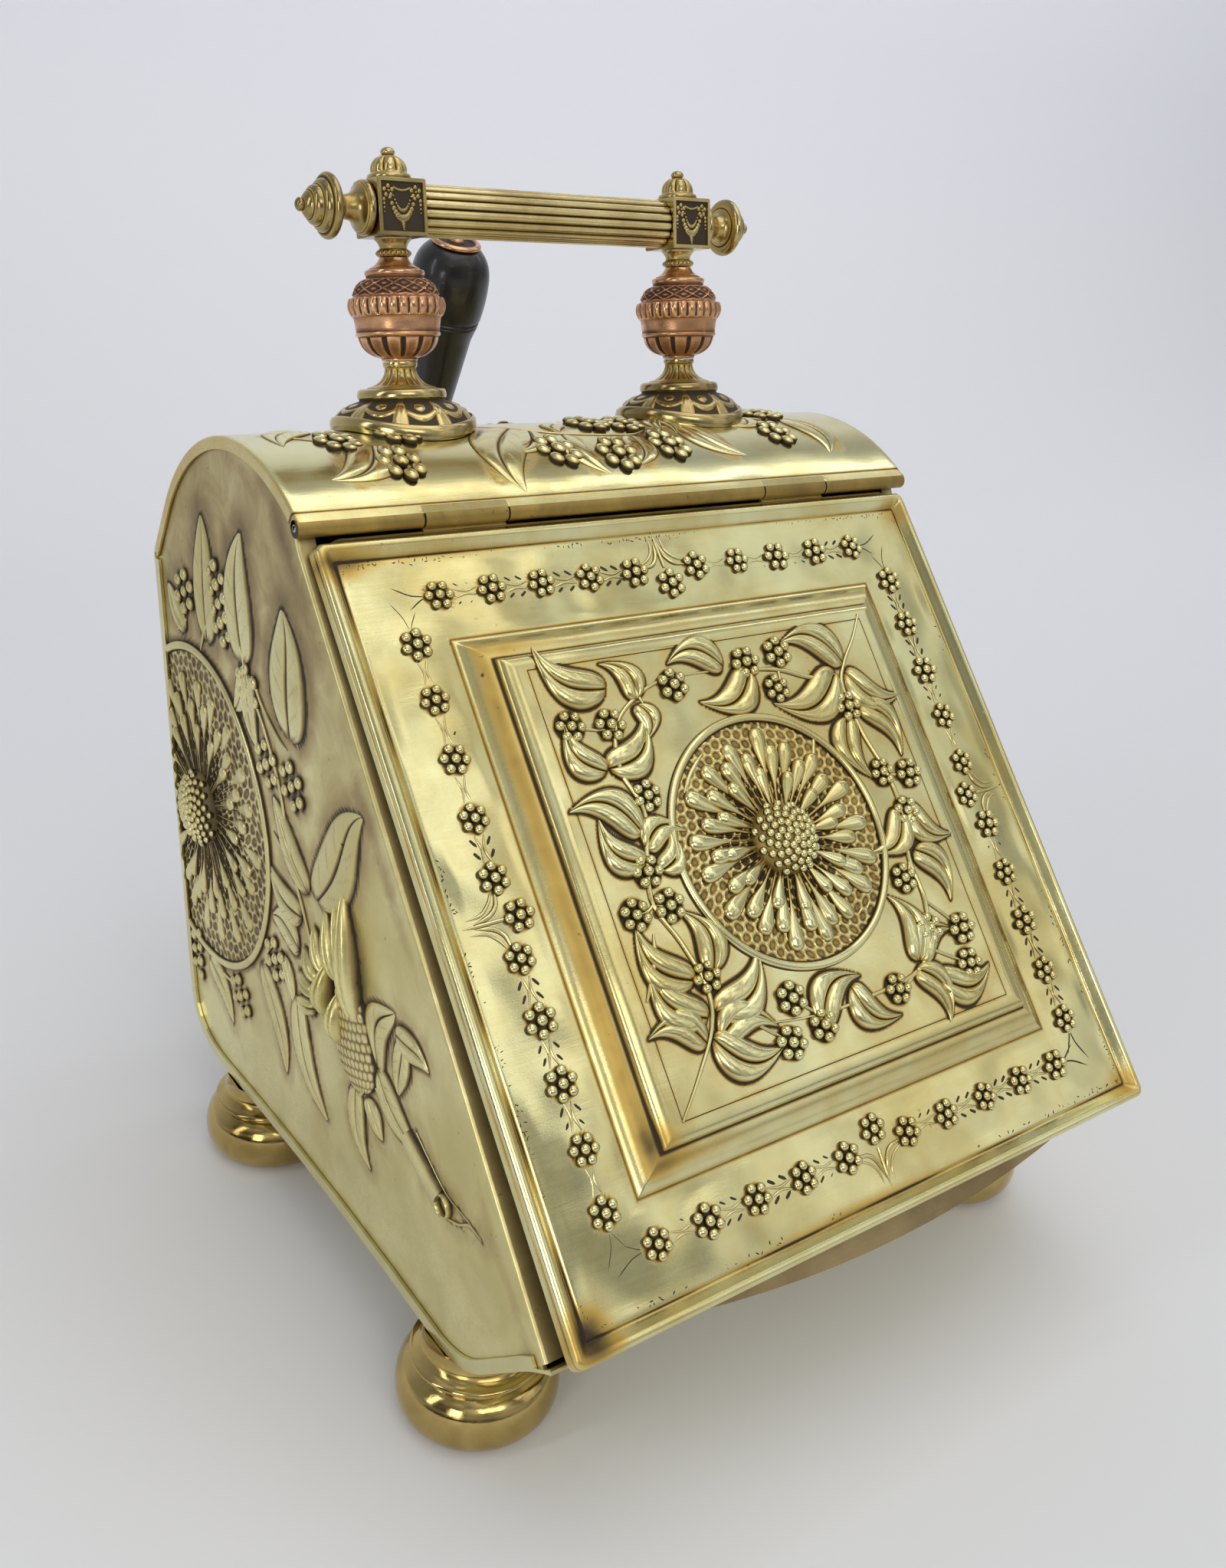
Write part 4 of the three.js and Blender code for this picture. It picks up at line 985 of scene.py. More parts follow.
# how far in from the edge, and how high: from the raised panel out over the rim, and back underneath
lidTop = Outline(59.7, lid["sunk"]).to((59.4, lid["panel"]), (58.5, lid["panel"]))
lidTop.curve((55.2, 8.0), (54.0, 6.5), 8)
lidTop.curve((53.5, 5.9), (53.3, 4.8), 4).to((53.0, 4.2), (51.9, 4.0)).curve((48.6, 3.9), (45.6, 1.6), 12)
lidTop.curve((43.6, -0.2), (42.2, -0.5), 6).to((41.6, -0.96), (8.6, -0.96)).curve((7.9, -1.0), (7.3, -1.5), 4)
lidTop.curve((6.6, -1.4), (6.2, -0.7), 4).curve((4.7, 0.9), (3.9, 1.9), 6).curve((3.1, 2.6), (1.9, 2.3), 7)
lidTop.curve((0.4, 1.5), (0.5, 0.3), 7).curve((0.6, -0.5), (0.2, -0.9), 4).to((0, -3.76))
lidUnder = [
    (1.5, -3.76), (1.8, -0.16), (3.4, 0.34), (6.6, -2.56), (41.9, -2.46), (45.6, -0.16), (52.2, 2.54),
    (56, 6.14), (66, 6.54),
]
# waves across and along, where they start, and their height
sheetWaves = [
    (0.11, 0.07, 0.4, 0.16), (0.04, 0.15, 1.9, 0.14), (0.19, -0.12, 3.1, 0.09), (0.07, -0.05, 5.0, 0.22),
    (0.26, 0.21, 0.9, 0.05),
]


# Hand-worked sheet is never flat: a few long waves, in millimetres.
def waviness(x, y, strength):
    total = sum(a * np.sin(kx * x + ky * y + phase) for kx, ky, phase, a in sheetWaves)
    return strength * total


def floretPlaces():
    middle, out = lid["middle"], []
    for y, drop in ((-30.5, -6.5), (-269.0, 6.0)):
        out += [(sign * x, y) for x in (15.5, 37.5, 60.0, 82.0, 104.0) for sign in (-1, 1)] + [(0, y + drop)]
    for x, drop in ((-119.3, 5.0), (119.5, -5.2)):
        out += [(x, middle + sign * y) for y in (14.5, 36.5, 58.5, 81.0, 102.5) for sign in (-1, 1)]
        out.append((x + drop, middle))
    return out


florets = floretPlaces()


# Every floret was punched up from behind, so the field swells round it and falls between.
def fieldHeight(x, y):
    swell = np.zeros(np.broadcast(x, y).shape)
    for fx, fy in florets:
        swell = swell + 0.5 * np.exp(-((x - fx) ** 2 + (y - fy) ** 2) / 90.0)
    by = np.minimum(lid["half"] - np.abs(x), lid["middle"] - lid["bottom"] - np.abs(y - lid["middle"]))
    inside = np.clip((by - 8.5) / 5, 0, 1) * np.clip((41.2 - by) / 4, 0, 1)
    return (swell + waviness(x, y, 0.9)) * inside


def ringPoints(by, z, corner):
    x, low, high = lid["half"] - by, lid["bottom"] + by, lid["top"] - by
    corners = []
    for quarter, (cx, cy) in enumerate(((x, high), (-x, high), (-x, low), (x, low))):
        angle = (quarter + np.linspace(0, 1, lid["cornerSteps"])) * math.pi / 2
        ox, oy = cx - math.copysign(corner, cx), cy - (corner if cy == high else -corner)
        corners.append(np.stack([ox + corner * np.cos(angle), oy + corner * np.sin(angle)], -1))
    loop = []
    for quarter in range(4):
        start, end = corners[quarter][-1], corners[(quarter + 1) % 4][0]
        t = np.linspace(0, 1, lid["sideSteps"] + 1)[1:-1, None]
        loop += [corners[quarter], start + (end - start) * t]
    flat = np.vstack(loop)
    return np.column_stack([flat, np.full(len(flat), z)])


# Points all over a leaf, closest along its outline.
def leafSpots(net):
    return [tuple(p[:2]) for p in np.vstack([net[:, 0], net[:, -1], net[::3, ::4].reshape(-1, 3)])]


# How near each place is to the nearest spot: 1 within the reach, fading outside it.
def haloed(x, y, spots, reach, width):
    tree = KDTree(len(spots))
    for i, spot in enumerate(spots):
        tree.insert((spot[0], spot[1], 0), i)
    tree.balance()
    far = np.array([tree.find((a, b, 0))[2] for a, b in zip(x.ravel(), y.ravel())]).reshape(x.shape)
    return glow(np.clip(far - reach, 0, None), width)


# Stains on the lid: middle x and y, how far across and along, and how dark.
lidStains = [
    (-138, -286, 9, 9, 0.75), (-92, -238, 7, 7, 0.4), (138, -287, 10, 7, 0.45), (-20, -287, 60, 3.2, 0.4),
    (-138, -16, 12, 6, 0.5), (-100, -14, 50, 2.4, 0.35), (139, -16, 9, 8, 0.4),
]
# The lid's corners are rounder at the rim: how far in, and the radius there.
cornerBy, cornerRadius = [0, 1, 3, 5, 7, 50], [3.4, 3.1, 2.4, 1.8, 0.8, 0.6]


def lidShell():
    outside, inside, steps = lid["fieldSpan"]
    profile = [p for p in lidTop.at if not outside < p[0] < inside]
    first = next(i for i, p in enumerate(profile) if p[0] <= outside)
    field = [(by, lid["field"]) for by in np.linspace(inside, outside, steps)]
    rows = [(120.0, lid["sunk"]), (80.0, lid["sunk"]), *profile[:first], *field, *profile[first:]]
    top = len(rows)
    rows += [*lidUnder, (120.0, lidUnder[-1][1])]
    net = np.array([ringPoints(by, z, float(np.interp(by, cornerBy, cornerRadius))) for by, z in rows])
    beaten = 0.25 * waviness(net[..., 0] * 0.6, net[..., 1] * 0.6, 1.0)
    net[..., 2] += fieldHeight(net[..., 0], net[..., 1]) + beaten * np.clip((-9 - net[..., 1]) / 20, 0, 1)
    # the rim's foot under the hinge is dressed towards the barrel
    foot = np.clip((1.0 - net[..., 2]) / 2.4, 0, 1) * (net[..., 1] > lid["top"] - 1.6)
    foot = foot * np.clip((140 - np.abs(net[..., 0])) / 4, 0, 1)
    net[..., 1] += 2.4 * foot
    by, z = np.array(rows)[:, 0][:, None], np.array(rows)[:, 1][:, None]
    x, y = net[..., 0], net[..., 1]
    creases = glow(by - 41.6, 0.7) * 0.7 + glow(by - 52.9, 0.55)
    groove = glow(by - 7.3, 0.55) * 0.9 + glow(by - 0.5, 0.3) * (z < 0) * 0.6
    near = np.zeros(net.shape[:2])
    near[:top] = haloed(x[:top], y[:top], florets, 4.7, 1.0) * 0.8
    stain = sum(a * glow(x - cx, sx) * glow(y - cy, sy) for cx, cy, sx, sy, a in lidStains)
    patchy = 0.62 + 0.38 * np.sin(x * 0.11 + 1.0) * np.sin(y * 0.13 + 2.0)
    # painted reflection: a golden glow painted along the hollow's flank, 49 mm in, and along the rim,
    # stronger towards the left side
    left = np.clip((-x - 60) / 40, 0, 1)
    paintedGoldenGlow = 0.52 * glow(by - 49.0, 3.6) * (0.35 + 0.65 * left) + 0.16 * left * glow(by - 3.5, 2.5)
    isTop = (np.arange(len(rows)) < top)[:, None]
    age = np.where(isTop, creases + groove * patchy + near + stain + paintedGoldenGlow, 0.5)
    index, quads = loopedFaces(*net.shape[:2])
    shell = Shell()
    shell.add(net, [*quads, list(index[0]), list(index[-1][::-1])], age)
    return shell


def tube(inner, outer, low, high):
    o, edge = Outline(inner, low), 0.25
    o.at += [(outer - edge, low), (outer, low + edge), (outer, high - edge), (outer - edge, high)]
    o.at += [(inner, high), (inner, low)]
    shell = turnedShell(o, 40, None, (2, 9.0))
    points = np.array(shell.points)
    shell.points = list(np.stack([points[:, 2], points[:, 1], -points[:, 0]], -1))
    ends = np.minimum(np.abs(points[:, 2] - low), np.abs(points[:, 2] - high))
    shell.patina = list(0.1 + 0.8 * glow(ends, 0.35))
    return shell


def joined(*shells):
    whole = Shell()
    for shell in shells:
        whole.add(shell.points, shell.faces, shell.patina)
    return whole


def slab(x, y, z):
    shell = Shell()
    points = [(a, b, c) for c in z for b in y for a in x]
    faces = [(0, 2, 3, 1), (4, 5, 7, 6), (0, 1, 5, 4), (2, 6, 7, 3), (1, 3, 7, 5), (0, 4, 6, 2)]
    shell.add(points, faces, 0.25)
    return shell


flatLid = wrapFlat(onLid)
hinge = {"barrel": 3.4, "bore": 1.6, "inner": 64.7, "outer": 100.9, "joint": 0.25}
knuckles = []
for sign in (-1, 1):
    low, high = sorted((sign * (hinge["inner"] + hinge["joint"]), sign * (hinge["outer"] - hinge["joint"])))
    knuckles.append(tube(hinge["bore"], hinge["barrel"], low, high))
    knuckles.append(slab((low, high), (lid["top"] - 1.4, 0.4), (-3.3, -1.8)))
makePiece("lidSheet", joined(lidShell(), *knuckles), flatLid, *lidPart, ("lid",), 32)
print("stage: lid sheet made")


def onField(points):
    points = np.array(points, float)
    lift = fieldHeight(points[:, 0], points[:, 1]) + lid["field"]
    return flatLid(points + np.stack([0 * lift, 0 * lift, lift], -1))


# The raised panel's own frame has its middle at 0.
def onPanel(points):
    points = np.array(points, float)
    lift = waviness(points[:, 0] * 1.3, points[:, 1] * 1.3, 0.35) + lid["panel"]
    return flatLid(points + np.stack([0 * lift, lid["middle"] + 0 * lift, lift], -1))


# Rows of florets: the place between the two middle ones, along, outward, and where the florets stand.
borderRows = [
    ((0, -30.5), (1, 0), (0, 1), (15.5, 37.5, 60.0, 82.0, 104.0)),
    ((0, -269.0), (1, 0), (0, -1), (15.5, 37.5, 60.0, 82.0, 104.0)),
    ((-119.3, lid["middle"]), (0, 1), (-1, 0), (14.5, 36.5, 58.5, 81.0, 102.5)),
    ((119.5, lid["middle"]), (0, 1), (1, 0), (14.5, 36.5, 58.5, 81.0, 102.5)),
]


def floretBorder():
    dice = np.random.default_rng(11)
    spins = dice.uniform(0, 60, len(florets))
    sizes = dice.uniform(0.93, 1.05, len(florets))
    values = {"Berry radius": 0.00195, "Ring radius": 0.00445, "Height": 0.85, "Around": 6}
    grow("lidFlorets", berries, values, onField, [(*f, 0.7) for f in florets], *lidPart, spins, sizes)
    stems, cuts, ticks, turns = Shell(), Shell(), [], []
    for origin, along, outward, stops in borderRows:

        def at(u, v):
            return (origin[0] + along[0] * u + outward[0] * v, origin[1] + along[1] * u + outward[1] * v)

        for sign in (-1, 1):
            for a, b in zip(stops[:-1], stops[1:]):
                for lean in (-1, 1):
                    middle = at(sign * (a + b) / 2, lean * 0.6)
                    path = [at(sign * (a + 6.2), lean * 1.5), middle, at(sign * (b - 6.0), lean * 1.9)]
                    addRib(stems, path, 1.1, 0.5, (0.5, 0.5), 7, 0.9, 5)
                for spot in (a + 8.6, b - 8.6):
                    for hand in (-1, 1):
                        ticks.append((*at(sign * spot, hand * 3.0), 0.0))
                        x, y = (along[k] * sign + outward[k] * hand * 0.7 for k in (0, 1))
                        turns.append(math.degrees(math.atan2(y, x)))
            inner = ((stops[0] - 5.5, 1.5), (5.2, 2.6), (2.2, 6.2), (0.8, 12.5))
            addRib(stems, [at(sign * u, v) for u, v in inner], 1.9, 0.9, (0.7, 0.15), 9, 0.9, 6)
            outer = ((stops[0] - 5.0, 3.2), (6.4, 5.2), (3.4, 9.0), (2.6, 15.2))
            addRib(stems, [at(sign * u, v) for u, v in outer], 1.3, 0.6, (0.7, 0.1), 7, 0.9, 6)
            end = stops[-1]
            for lift, reach in ((1.6, 19.0), (-1.4, 14.0)):
                tail = ((end + 6.5, lift * 0.3), (end + reach * 0.6, lift), (end + reach, lift * 3.6))
                addCut(cuts, [at(sign * u, v) for u, v in tail], 0.7, (0.9, 0.1))
        addRib(stems, [at(0, 1.0), at(0, 6), at(0, 17.0)], 1.6, 0.8, (0.9, 0.1), 9, 0.9, 6)
    makePiece("lidStems", stems, onField, *lidPart, (), 60)
    makePiece("lidTails", cuts, onField, *lidPart, (), 60)
    drop = Shell()
    addRib(drop, [(-1.7, 0), (0.2, 0), (1.9, 0)], 1.25, 0.1, (0.1, 0.75), 7, 1.0, 5)
    drop.patina = [1.0] * len(drop.points)
    tick = shapeObject("tick", drop)
    dots = stippling()
    spins, sizes = [d[2] for d in dots], [d[3] for d in dots]
    grow("lidStippling", scatter, {"Thing": tick}, onField, [d[:2] for d in dots], *lidPart, spins, sizes)
    grow("lidTicks", scatter, {"Thing": tick}, onField, ticks, *lidPart, turns)
    bpy.data.objects.remove(tick)


# Dark punched dots in uneven rows beside the rim's groove, densest along the top and at the corners.
# Each is x, y, turn and size.
def stippling():
    dice = np.random.default_rng(31)
    out, middle, halfY = [], lid["middle"], lid["middle"] - lid["bottom"]
    for inset, share, spread in ((9.4, 0.8, 0.5), (10.4, 0.35, 0.6)):
        for side in range(4):
            reach = (lid["half"] if side < 2 else halfY) - inset
            across = (halfY if side < 2 else lid["half"]) - inset
            hand = 1 if side % 2 == 0 else -1
            for t in np.arange(-reach, reach, 1.7):
                wave = 0.45 + 0.55 * math.sin(t * 0.11 + side) ** 2
                if dice.random() < share * wave * (1.0 if side in (0, 3) else 0.55):
                    u = t + dice.uniform(-0.5, 0.5)
                    v = (across + dice.uniform(-spread, spread)) * hand
                    at = (u, middle + v) if side < 2 else (v, middle + u)
                    out.append((*at, dice.uniform(0, 360), dice.uniform(0.22, 0.42)))
    return out


# A flat piece of carving, kept as an object that a node tree can repeat.
def shapeObject(name, shell):
    mesh = bpy.data.meshes.new(name)
    mesh.from_pydata(np.array(shell.points) * 0.001, [], shell.faces)
    addLayer(mesh, "patina", np.clip(np.array(shell.patina), 0, 1))
    return placed(name, mesh)


floretBorder()
print("stage: lid border made")


# Medallion: honeycomb ground in a ring, drop-shaped petals in tiers, a pearled boss
def honeycomb(x, y, pitch):
    row = pitch * math.sqrt(3)
    far = []
    for shift in (0.0, 0.5):
        dx = x - (np.round(x / pitch - shift) + shift) * pitch
        dy = y - (np.round(y / row - shift) + shift) * row
        far.append(np.hypot(dx, dy))
    return np.minimum(*far) / (pitch / 2)


def medallionGround(radius, ring, pitch, boss):
    inner, bead = radius - ring / 2, radius + ring / 2 * np.sin(np.linspace(-1.45, 1.57, 16))
    rows = np.concatenate([np.linspace(boss * 0.75, inner, int(20 + radius * 0.75)), bead])
    around = int(120 + radius * 5.8)
    angle = np.arange(around + 1) * 2 * math.pi / around
    r = rows[:, None]
    x, y = r * np.cos(angle), r * np.sin(angle)
    wobble = 0.25 * pitch * np.stack([np.sin(0.31 * y + 1), np.sin(0.27 * x + 2)])
    cell = honeycomb(x + wobble[0], y + wobble[1], pitch)
    edge = np.clip((cell - 0.72) / 0.3, 0, 1)
    ground = (r < inner) * 1.0
    bowl = ground * (0.05 + 0.55 * edge * edge * (3 - 2 * edge))
    beadHeight = 1.75 * np.sqrt(np.clip(1 - ((r - radius) / (ring / 2)) ** 2, 0, 1)) + 0.05
    height = np.where(ground > 0, bowl, beadHeight)
    wall = glow(cell - 0.62, 0.18)
    age = ground * (0.55 * (1 - edge) + 0.2 * wall * (1 - edge) + 0.35 * glow(r - boss, 0.22 * radius))
    age = age + 0.9 * glow(r - inner, 0.45) + glow(r - radius - ring / 2, 0.3)
    net = np.stack([x, y, height], -1)
    flat = net[:, :-1].reshape(-1, 3)
    index, faces = loopedFaces(len(rows), around)
    low = net[[0, -1], :-1].reshape(-1, 3).copy()
    low[:, 2] = -0.7
    inside = index.size + np.arange(around)
    outside = inside + around
    for j in range(around):
        k = (j + 1) % around
        faces.append((index[0, j], index[0, k], inside[k], inside[j]))
        faces.append((inside[j], inside[k], outside[k], outside[j]))
        faces.append((outside[j], outside[k], index[-1, k], index[-1, j]))
    shell = Shell()
    shell.add(np.vstack([flat, low]), faces, np.concatenate([age[:, :-1].ravel(), np.ones(2 * around)]))
    return shell


# A drop with its round end outwards and a thin tail that runs in to the boss.
def petalShell(start, tip, width, height):
    s = np.linspace(0, 1, 34)[:, None]
    q = np.linspace(-1, 1, 13)[None, :]
    far, shoulder = start + s * (tip - start), tip - width / 2
    head = np.sqrt(np.clip(1 - ((far - shoulder) / (width / 2)) ** 2, 0, 1))
    neck = np.clip((shoulder - far) / (2.0 * width), 0, 1)
    half = np.where(far > shoulder, head, 1 - 0.86 * np.sin(neck * math.pi / 2) ** 2.0) * width / 2 * 0.9
    half = np.maximum(half, 0.02)
    rise = 0.12 + 0.88 * np.where(neck > 0, (1 - neck) ** 1.1, head**0.7)
    lift = height * rise * np.sqrt(np.clip(1 - q**2, 0, 1)) - 0.1
    net = np.stack([far + 0 * q, half * q, lift + 0.25 * (neck > 0)], -1)
    edge = glow(1 - np.abs(q), 0.16) * 0.9 + 0.35 * neck**1.5 + 0.9 * (s > 0.985)
    shell = Shell()
    shell.addNet(net, np.clip(edge, 0, 1), -0.4)
    return shell


# Ground, tiers of petals, cut rays and a boss with pearls. Part is its body, slot and finish.
def medallion(name, wrap, centre, size, part, seed, flip=False, limit=None):
    radius, boss, high = size["radius"], size["boss"], size["bossHeight"]

    def moved(points):
        return wrap(np.array(points, float) + [centre[0], centre[1], 0])

    ground = medallionGround(radius, size["ring"], size["pitch"], boss)
    makePiece(name + "Ground", ground, moved, *part, (), 60, flip)
    dice = np.random.default_rng(seed)
    for tier, (count, tip, width, lift) in enumerate(size["tiers"]):
        petal = shapeObject("petal", petalShell(boss * 0.9, tip, width, lift))
        step = 360 / count
        spins = [(k + tier * size["stagger"]) * step + dice.uniform(-0.12, 0.12) * step for k in range(count)]
        sizes = dice.uniform(0.93, 1.03, count)
        middles = [(0, 0, 0.05 + 0.25 * tier)] * count
        grow(f"{name}Petals{tier + 1}", scatter, {"Thing": petal}, moved, middles, *part, spins, sizes, limit)
        bpy.data.objects.remove(petal)
    rays = Shell()
    for k in range(size["rays"]):
        angle = 2 * math.pi * (k + 0.5 * dice.uniform(-1, 1)) / size["rays"]
        far = boss + (radius - boss) * dice.uniform(0.35, 0.62)
        reaches = (boss * 0.95, (boss + far) / 2, far)
        path = [(r * math.cos(angle), r * math.sin(angle), 0.55) for r in reaches]
        addRib(rays, path, 0.34, 0.28, (1, 0.2), 3, 1.0, 3)
    rays.patina = [0.75] * len(rays.points)
    makePiece(name + "Hatching", rays, moved, *part, (), 60, flip)
    o = Outline(0, -0.5).to((boss, -0.5), (boss, 0.6))
    for i in range(1, 13):
        angle = math.pi / 2 * i / 12
        o.at.append((boss * math.cos(angle) if i < 12 else 0, 0.6 + high * math.sin(angle)))
    bossShell = turnedShell(o, 64, None, (1, 9.0))
    bossShell.patina = [0.6] * len(bossShell.points)
    makePiece(name + "Boss", bossShell, moved, *part, (), 60, flip)
    pearls = []
    for k in range(size["pearls"]):
        share = (k + 0.5) / size["pearls"]
        r, angle = boss * math.sqrt(share) * 0.985, k * 2.39996  # the golden angle
        z = 0.6 + high * math.sqrt(max(0, 1 - share * 0.97))
        pearls.append((r * math.cos(angle), r * math.sin(angle), z))
    values = {"Bead radius": size["pearl"] / 1000, "Height": 0.95}
    grow(name + "Pearls", beads, values, moved, pearls, *part, limit=limit)


lidFlower = {
    "radius": 50.0, "ring": 3.6, "pitch": 4.7, "boss": 14.5, "bossHeight": 7.4, "pearl": 1.72, "pearls": 66,
    "rays": 110, "stagger": 0.5,
    "tiers": ((17, 44.5, 8.4, 2.6), (17, 38.0, 7.8, 2.8), (12, 30.0, 6.8, 2.8)),
}
medallion("lidFlower", onPanel, (1, 1), lidFlower, lidPart, 3)
print("stage: lid medallion made")

# Leaves as base and tip from the panel's middle, as the smith set them.
panelLeaves = [
    (-54, 72, -83, 84), (-42, 66, -47, 84), (-43, 64, -40, 50), (-65, 42, -39, 52), (-66, 41, -82, 57),
    (3, 73, -19, 85), (15, 70, -9, 53), (65, 66, 42, 86), (59, 63, 26, 45), (64, 62, 84, 42),
    (65, 47, 84, 28), (56, 43, 50, 17), (65, 0, 48, -19), (70, 1, 82, -19), (64, -17, 80, -36),
    (45, -60, 50, -33), (46, -60, 64, -46), (52, -68, 78, -78), (42, -62, 56, -82), (7, -60, 20, -81),
    (-12, -70, 8, -51), (-56, -53, -26, -44), (-58, -62, -33, -57), (-61, -61, -37, -79),
    (-60, -54, -82, -35), (-64, -62, -82, -48), (-60, -40, -82, -22), (-51, -39, -49, -15),
    (-63, 5, -81, 19), (-60, 16, -81, 36), (-61, 10, -44, 19), (-58, 1, -45, 11),
]
# Clusters of berries, by their middles.
panelBerries = [
    (-75, 60), (-58, 58), (-24, 69), (-53, 29), (14, 73), (32, 75), (25, 60), (58, 47), (63, 17),
    (77, 14), (68, -1), (53, -27), (56, -49), (73, -53), (70, -67), (29, -67), (-22, -57), (-12, -70),
    (-29, -72), (-55, -40), (-75, -12), (-60, -12), (-64, 2),
]
panelVines = [
    [
        (-84, -84), (-72, -72), (-60, -58), (-56, -44), (-60, -26), (-66, -10), (-62, 6), (-56, 24),
        (-60, 40), (-56, 56), (-44, 66), (-26, 72), (2, 72),
    ],
    [
        (84, 86), (76, 76), (66, 66), (60, 56), (61, 36), (66, 16), (66, 0), (60, -20), (60, -38),
        (52, -56), (40, -64), (16, -66), (-12, -66), (-40, -62),
    ],
    [(14, 70), (30, 68), (46, 62), (60, 62)], [(-40, 64), (-43, 74), (-44, 80)],
    [(36, 40), (31, 30), (26, 22)], [(-22, 40), (-30, 34), (-36, 27)],
    [(-82, -42), (-74, -30), (-70, -20)],
]


garden = {"frame": 84.0, "leafWidth": 0.36, "leafWider": 6.0, "leafHeight": 2.7, "bend": 0.2, "flick": 0.55}


def panelGarden():
    leaves, vines, spots = Shell(), Shell(), []
    for k, (bx, by, tx, ty) in enumerate(panelLeaves):
        hand = -1 if k % 2 else 1
        width = garden["leafWidth"] * math.hypot(tx - bx, ty - by) + garden["leafWider"]
        bow = {"bend": garden["bend"] * hand, "flick": -garden["flick"] * hand}
        addLeaf(leaves, (bx, by), (tx, ty), width, height=garden["leafHeight"], **bow)
        spots += leafSpots(leafNet((bx, by), (tx, ty), width, **bow)[0])
    for path in panelVines:
        addRib(vines, path, 2.3, 1.2, (0.5, 0.4), 9, 0.9, 6)
    for x, y in panelBerries:
        far, px, py = min((math.hypot(px - x, py - y), px, py) for path in panelVines for px, py in path)
        if far > 5:
            stalk = [(px, py), ((px + x) / 2 + 1.2, (py + y) / 2 - 0.8), (x, y)]
            addRib(vines, stalk, 1.6, 0.9, (0.9, 0.6), 7, 0.9, 5)
    half = garden["frame"]
    corners = [(-half, -half), (half, -half), (half, half), (-half, half)]
    for a, b in zip(corners, corners[1:] + corners[:1]):
        addCut(vines, [a, ((a[0] + b[0]) / 2, (a[1] + b[1]) / 2), b], 0.55, (1, 1), 24)
    makePiece("panelLeaves", leaves, onPanel, *lidPart, (), 62)
    makePiece("panelVines", vines, onPanel, *lidPart, (), 62)
    dice = np.random.default_rng(5)
    spins, sizes = dice.uniform(0, 60, len(panelBerries)), dice.uniform(0.92, 1.06, len(panelBerries))
    values = {"Berry radius": 0.00205, "Ring radius": 0.0047, "Height": 1.15, "Around": 6}
    places = [(x, y, 0.9) for x, y in panelBerries]
    grow("panelBerries", berries, values, onPanel, places, *lidPart, spins, sizes)
    halfX, halfY = lid["half"] - lid["panelBy"], lid["middle"] - lid["bottom"] - lid["panelBy"]
    x, y = np.meshgrid(np.linspace(-halfX, halfX, 262), np.linspace(-halfY, halfY, 254), indexing="ij")
    age = haloed(x, y, spots, 0.3, 0.75) * 0.95
    age = np.maximum(age, haloed(x, y, panelBerries, 5.6, 1.2))
    age = np.maximum(age, 0.16 * haloed(x, y, spots + panelBerries, 2.0, 5.0))
    line = np.exp(-((np.maximum(np.abs(x), np.abs(y)) - half) ** 2) / 0.5)
    ground = Shell()
    ground.addNet(np.stack([x, y, 0 * x], -1), np.clip(age + 0.3 * line, 0, 1), -0.5)
    makePiece("panelGround", ground, onPanel, *lidPart, (), 40)


panelGarden()
print("stage: lid panel made")

# Side panels: drawn from outside, X to the front, Y up, Z out of the panel
panelSide = {
    "toe": (-152.2, 82.9), "top": (25.9, 305.2), "fold": 7.5, "bend": 1.5, "sheet": 1.2, "proud": 0.12,
    "flange": 5.2, "medallionY": 131.0, "medallionZ": 166.0,
}
backLean = (case["backTopY"] - case["backLowY"]) / (case["backTopZ"] - case["backLowZ"])


# Underside of the case from the toe to the back, as y and z.
def floorCurve(clear):
    o = Outline(-157.8, 84.4).curve((-146, 77), (-137, 68), 8)
    o.to((-116, 48.8)).curve((-105.5, 39), (-88, 38), 8)
    o.curve((15, 44.6), (118, 38), 20).curve((153.9, 38), (case["backLowY"], case["backLowZ"]), 12)
    line = np.array(o.at)
    run = np.gradient(line, axis=0)
    run /= np.linalg.norm(run, axis=1)[:, None]
    return line + clear * np.stack([-run[:, 1], run[:, 0]], -1)


def backAt(z):
    return case["backLowY"] + (z - case["backLowZ"]) * backLean


def sideLimits(y):
    low = floorCurve(1.2)
    keep = np.concatenate([[True], np.diff(low[:, 0]) > 0.01])
    under = np.interp(y, low[keep, 0], low[keep, 1])
    behind = case["backLowZ"] + (y + 1.2 - case["backLowY"]) / backLean
    under = np.maximum(under, np.where(y > low[keep, 0][-1], behind, 0))
    angle, r = np.radians(np.linspace(120, 36, 40)), case["hoodRadius"] - 1.4
    arc = zip(case["hoodY"] + r * np.cos(angle), case["hoodZ"] + r * np.sin(angle))
    over = np.array([panelSide["toe"], panelSide["top"], *arc, (case["backTopY"] - 1.3, case["backTopZ"])])
    return under, np.interp(y, over[:, 0], over[:, 1])


def onSide(sign):
    def wrap(points):
        points = np.array(points, float)
        y, z, out = -points[:, 0], points[:, 1], points[:, 2]
        y = np.minimum(y, backAt(z) - panelSide["flange"])
        wave = waviness(y * 0.55, z * 0.55, 0.5)
        x = sign * (case["panelHalf"] + panelSide["proud"] + wave * fadeAt(y, z) + out)
        return np.stack([x, y + shiftY, z], -1)

    return wrap


# What grows out past the back's turned edge is cut off flush with it.
def withinSide(points):
    y = np.minimum(points[:, 1] - shiftY, backAt(points[:, 2]) - panelSide["flange"])
    return np.stack([points[:, 0], y + shiftY, points[:, 2]], -1)


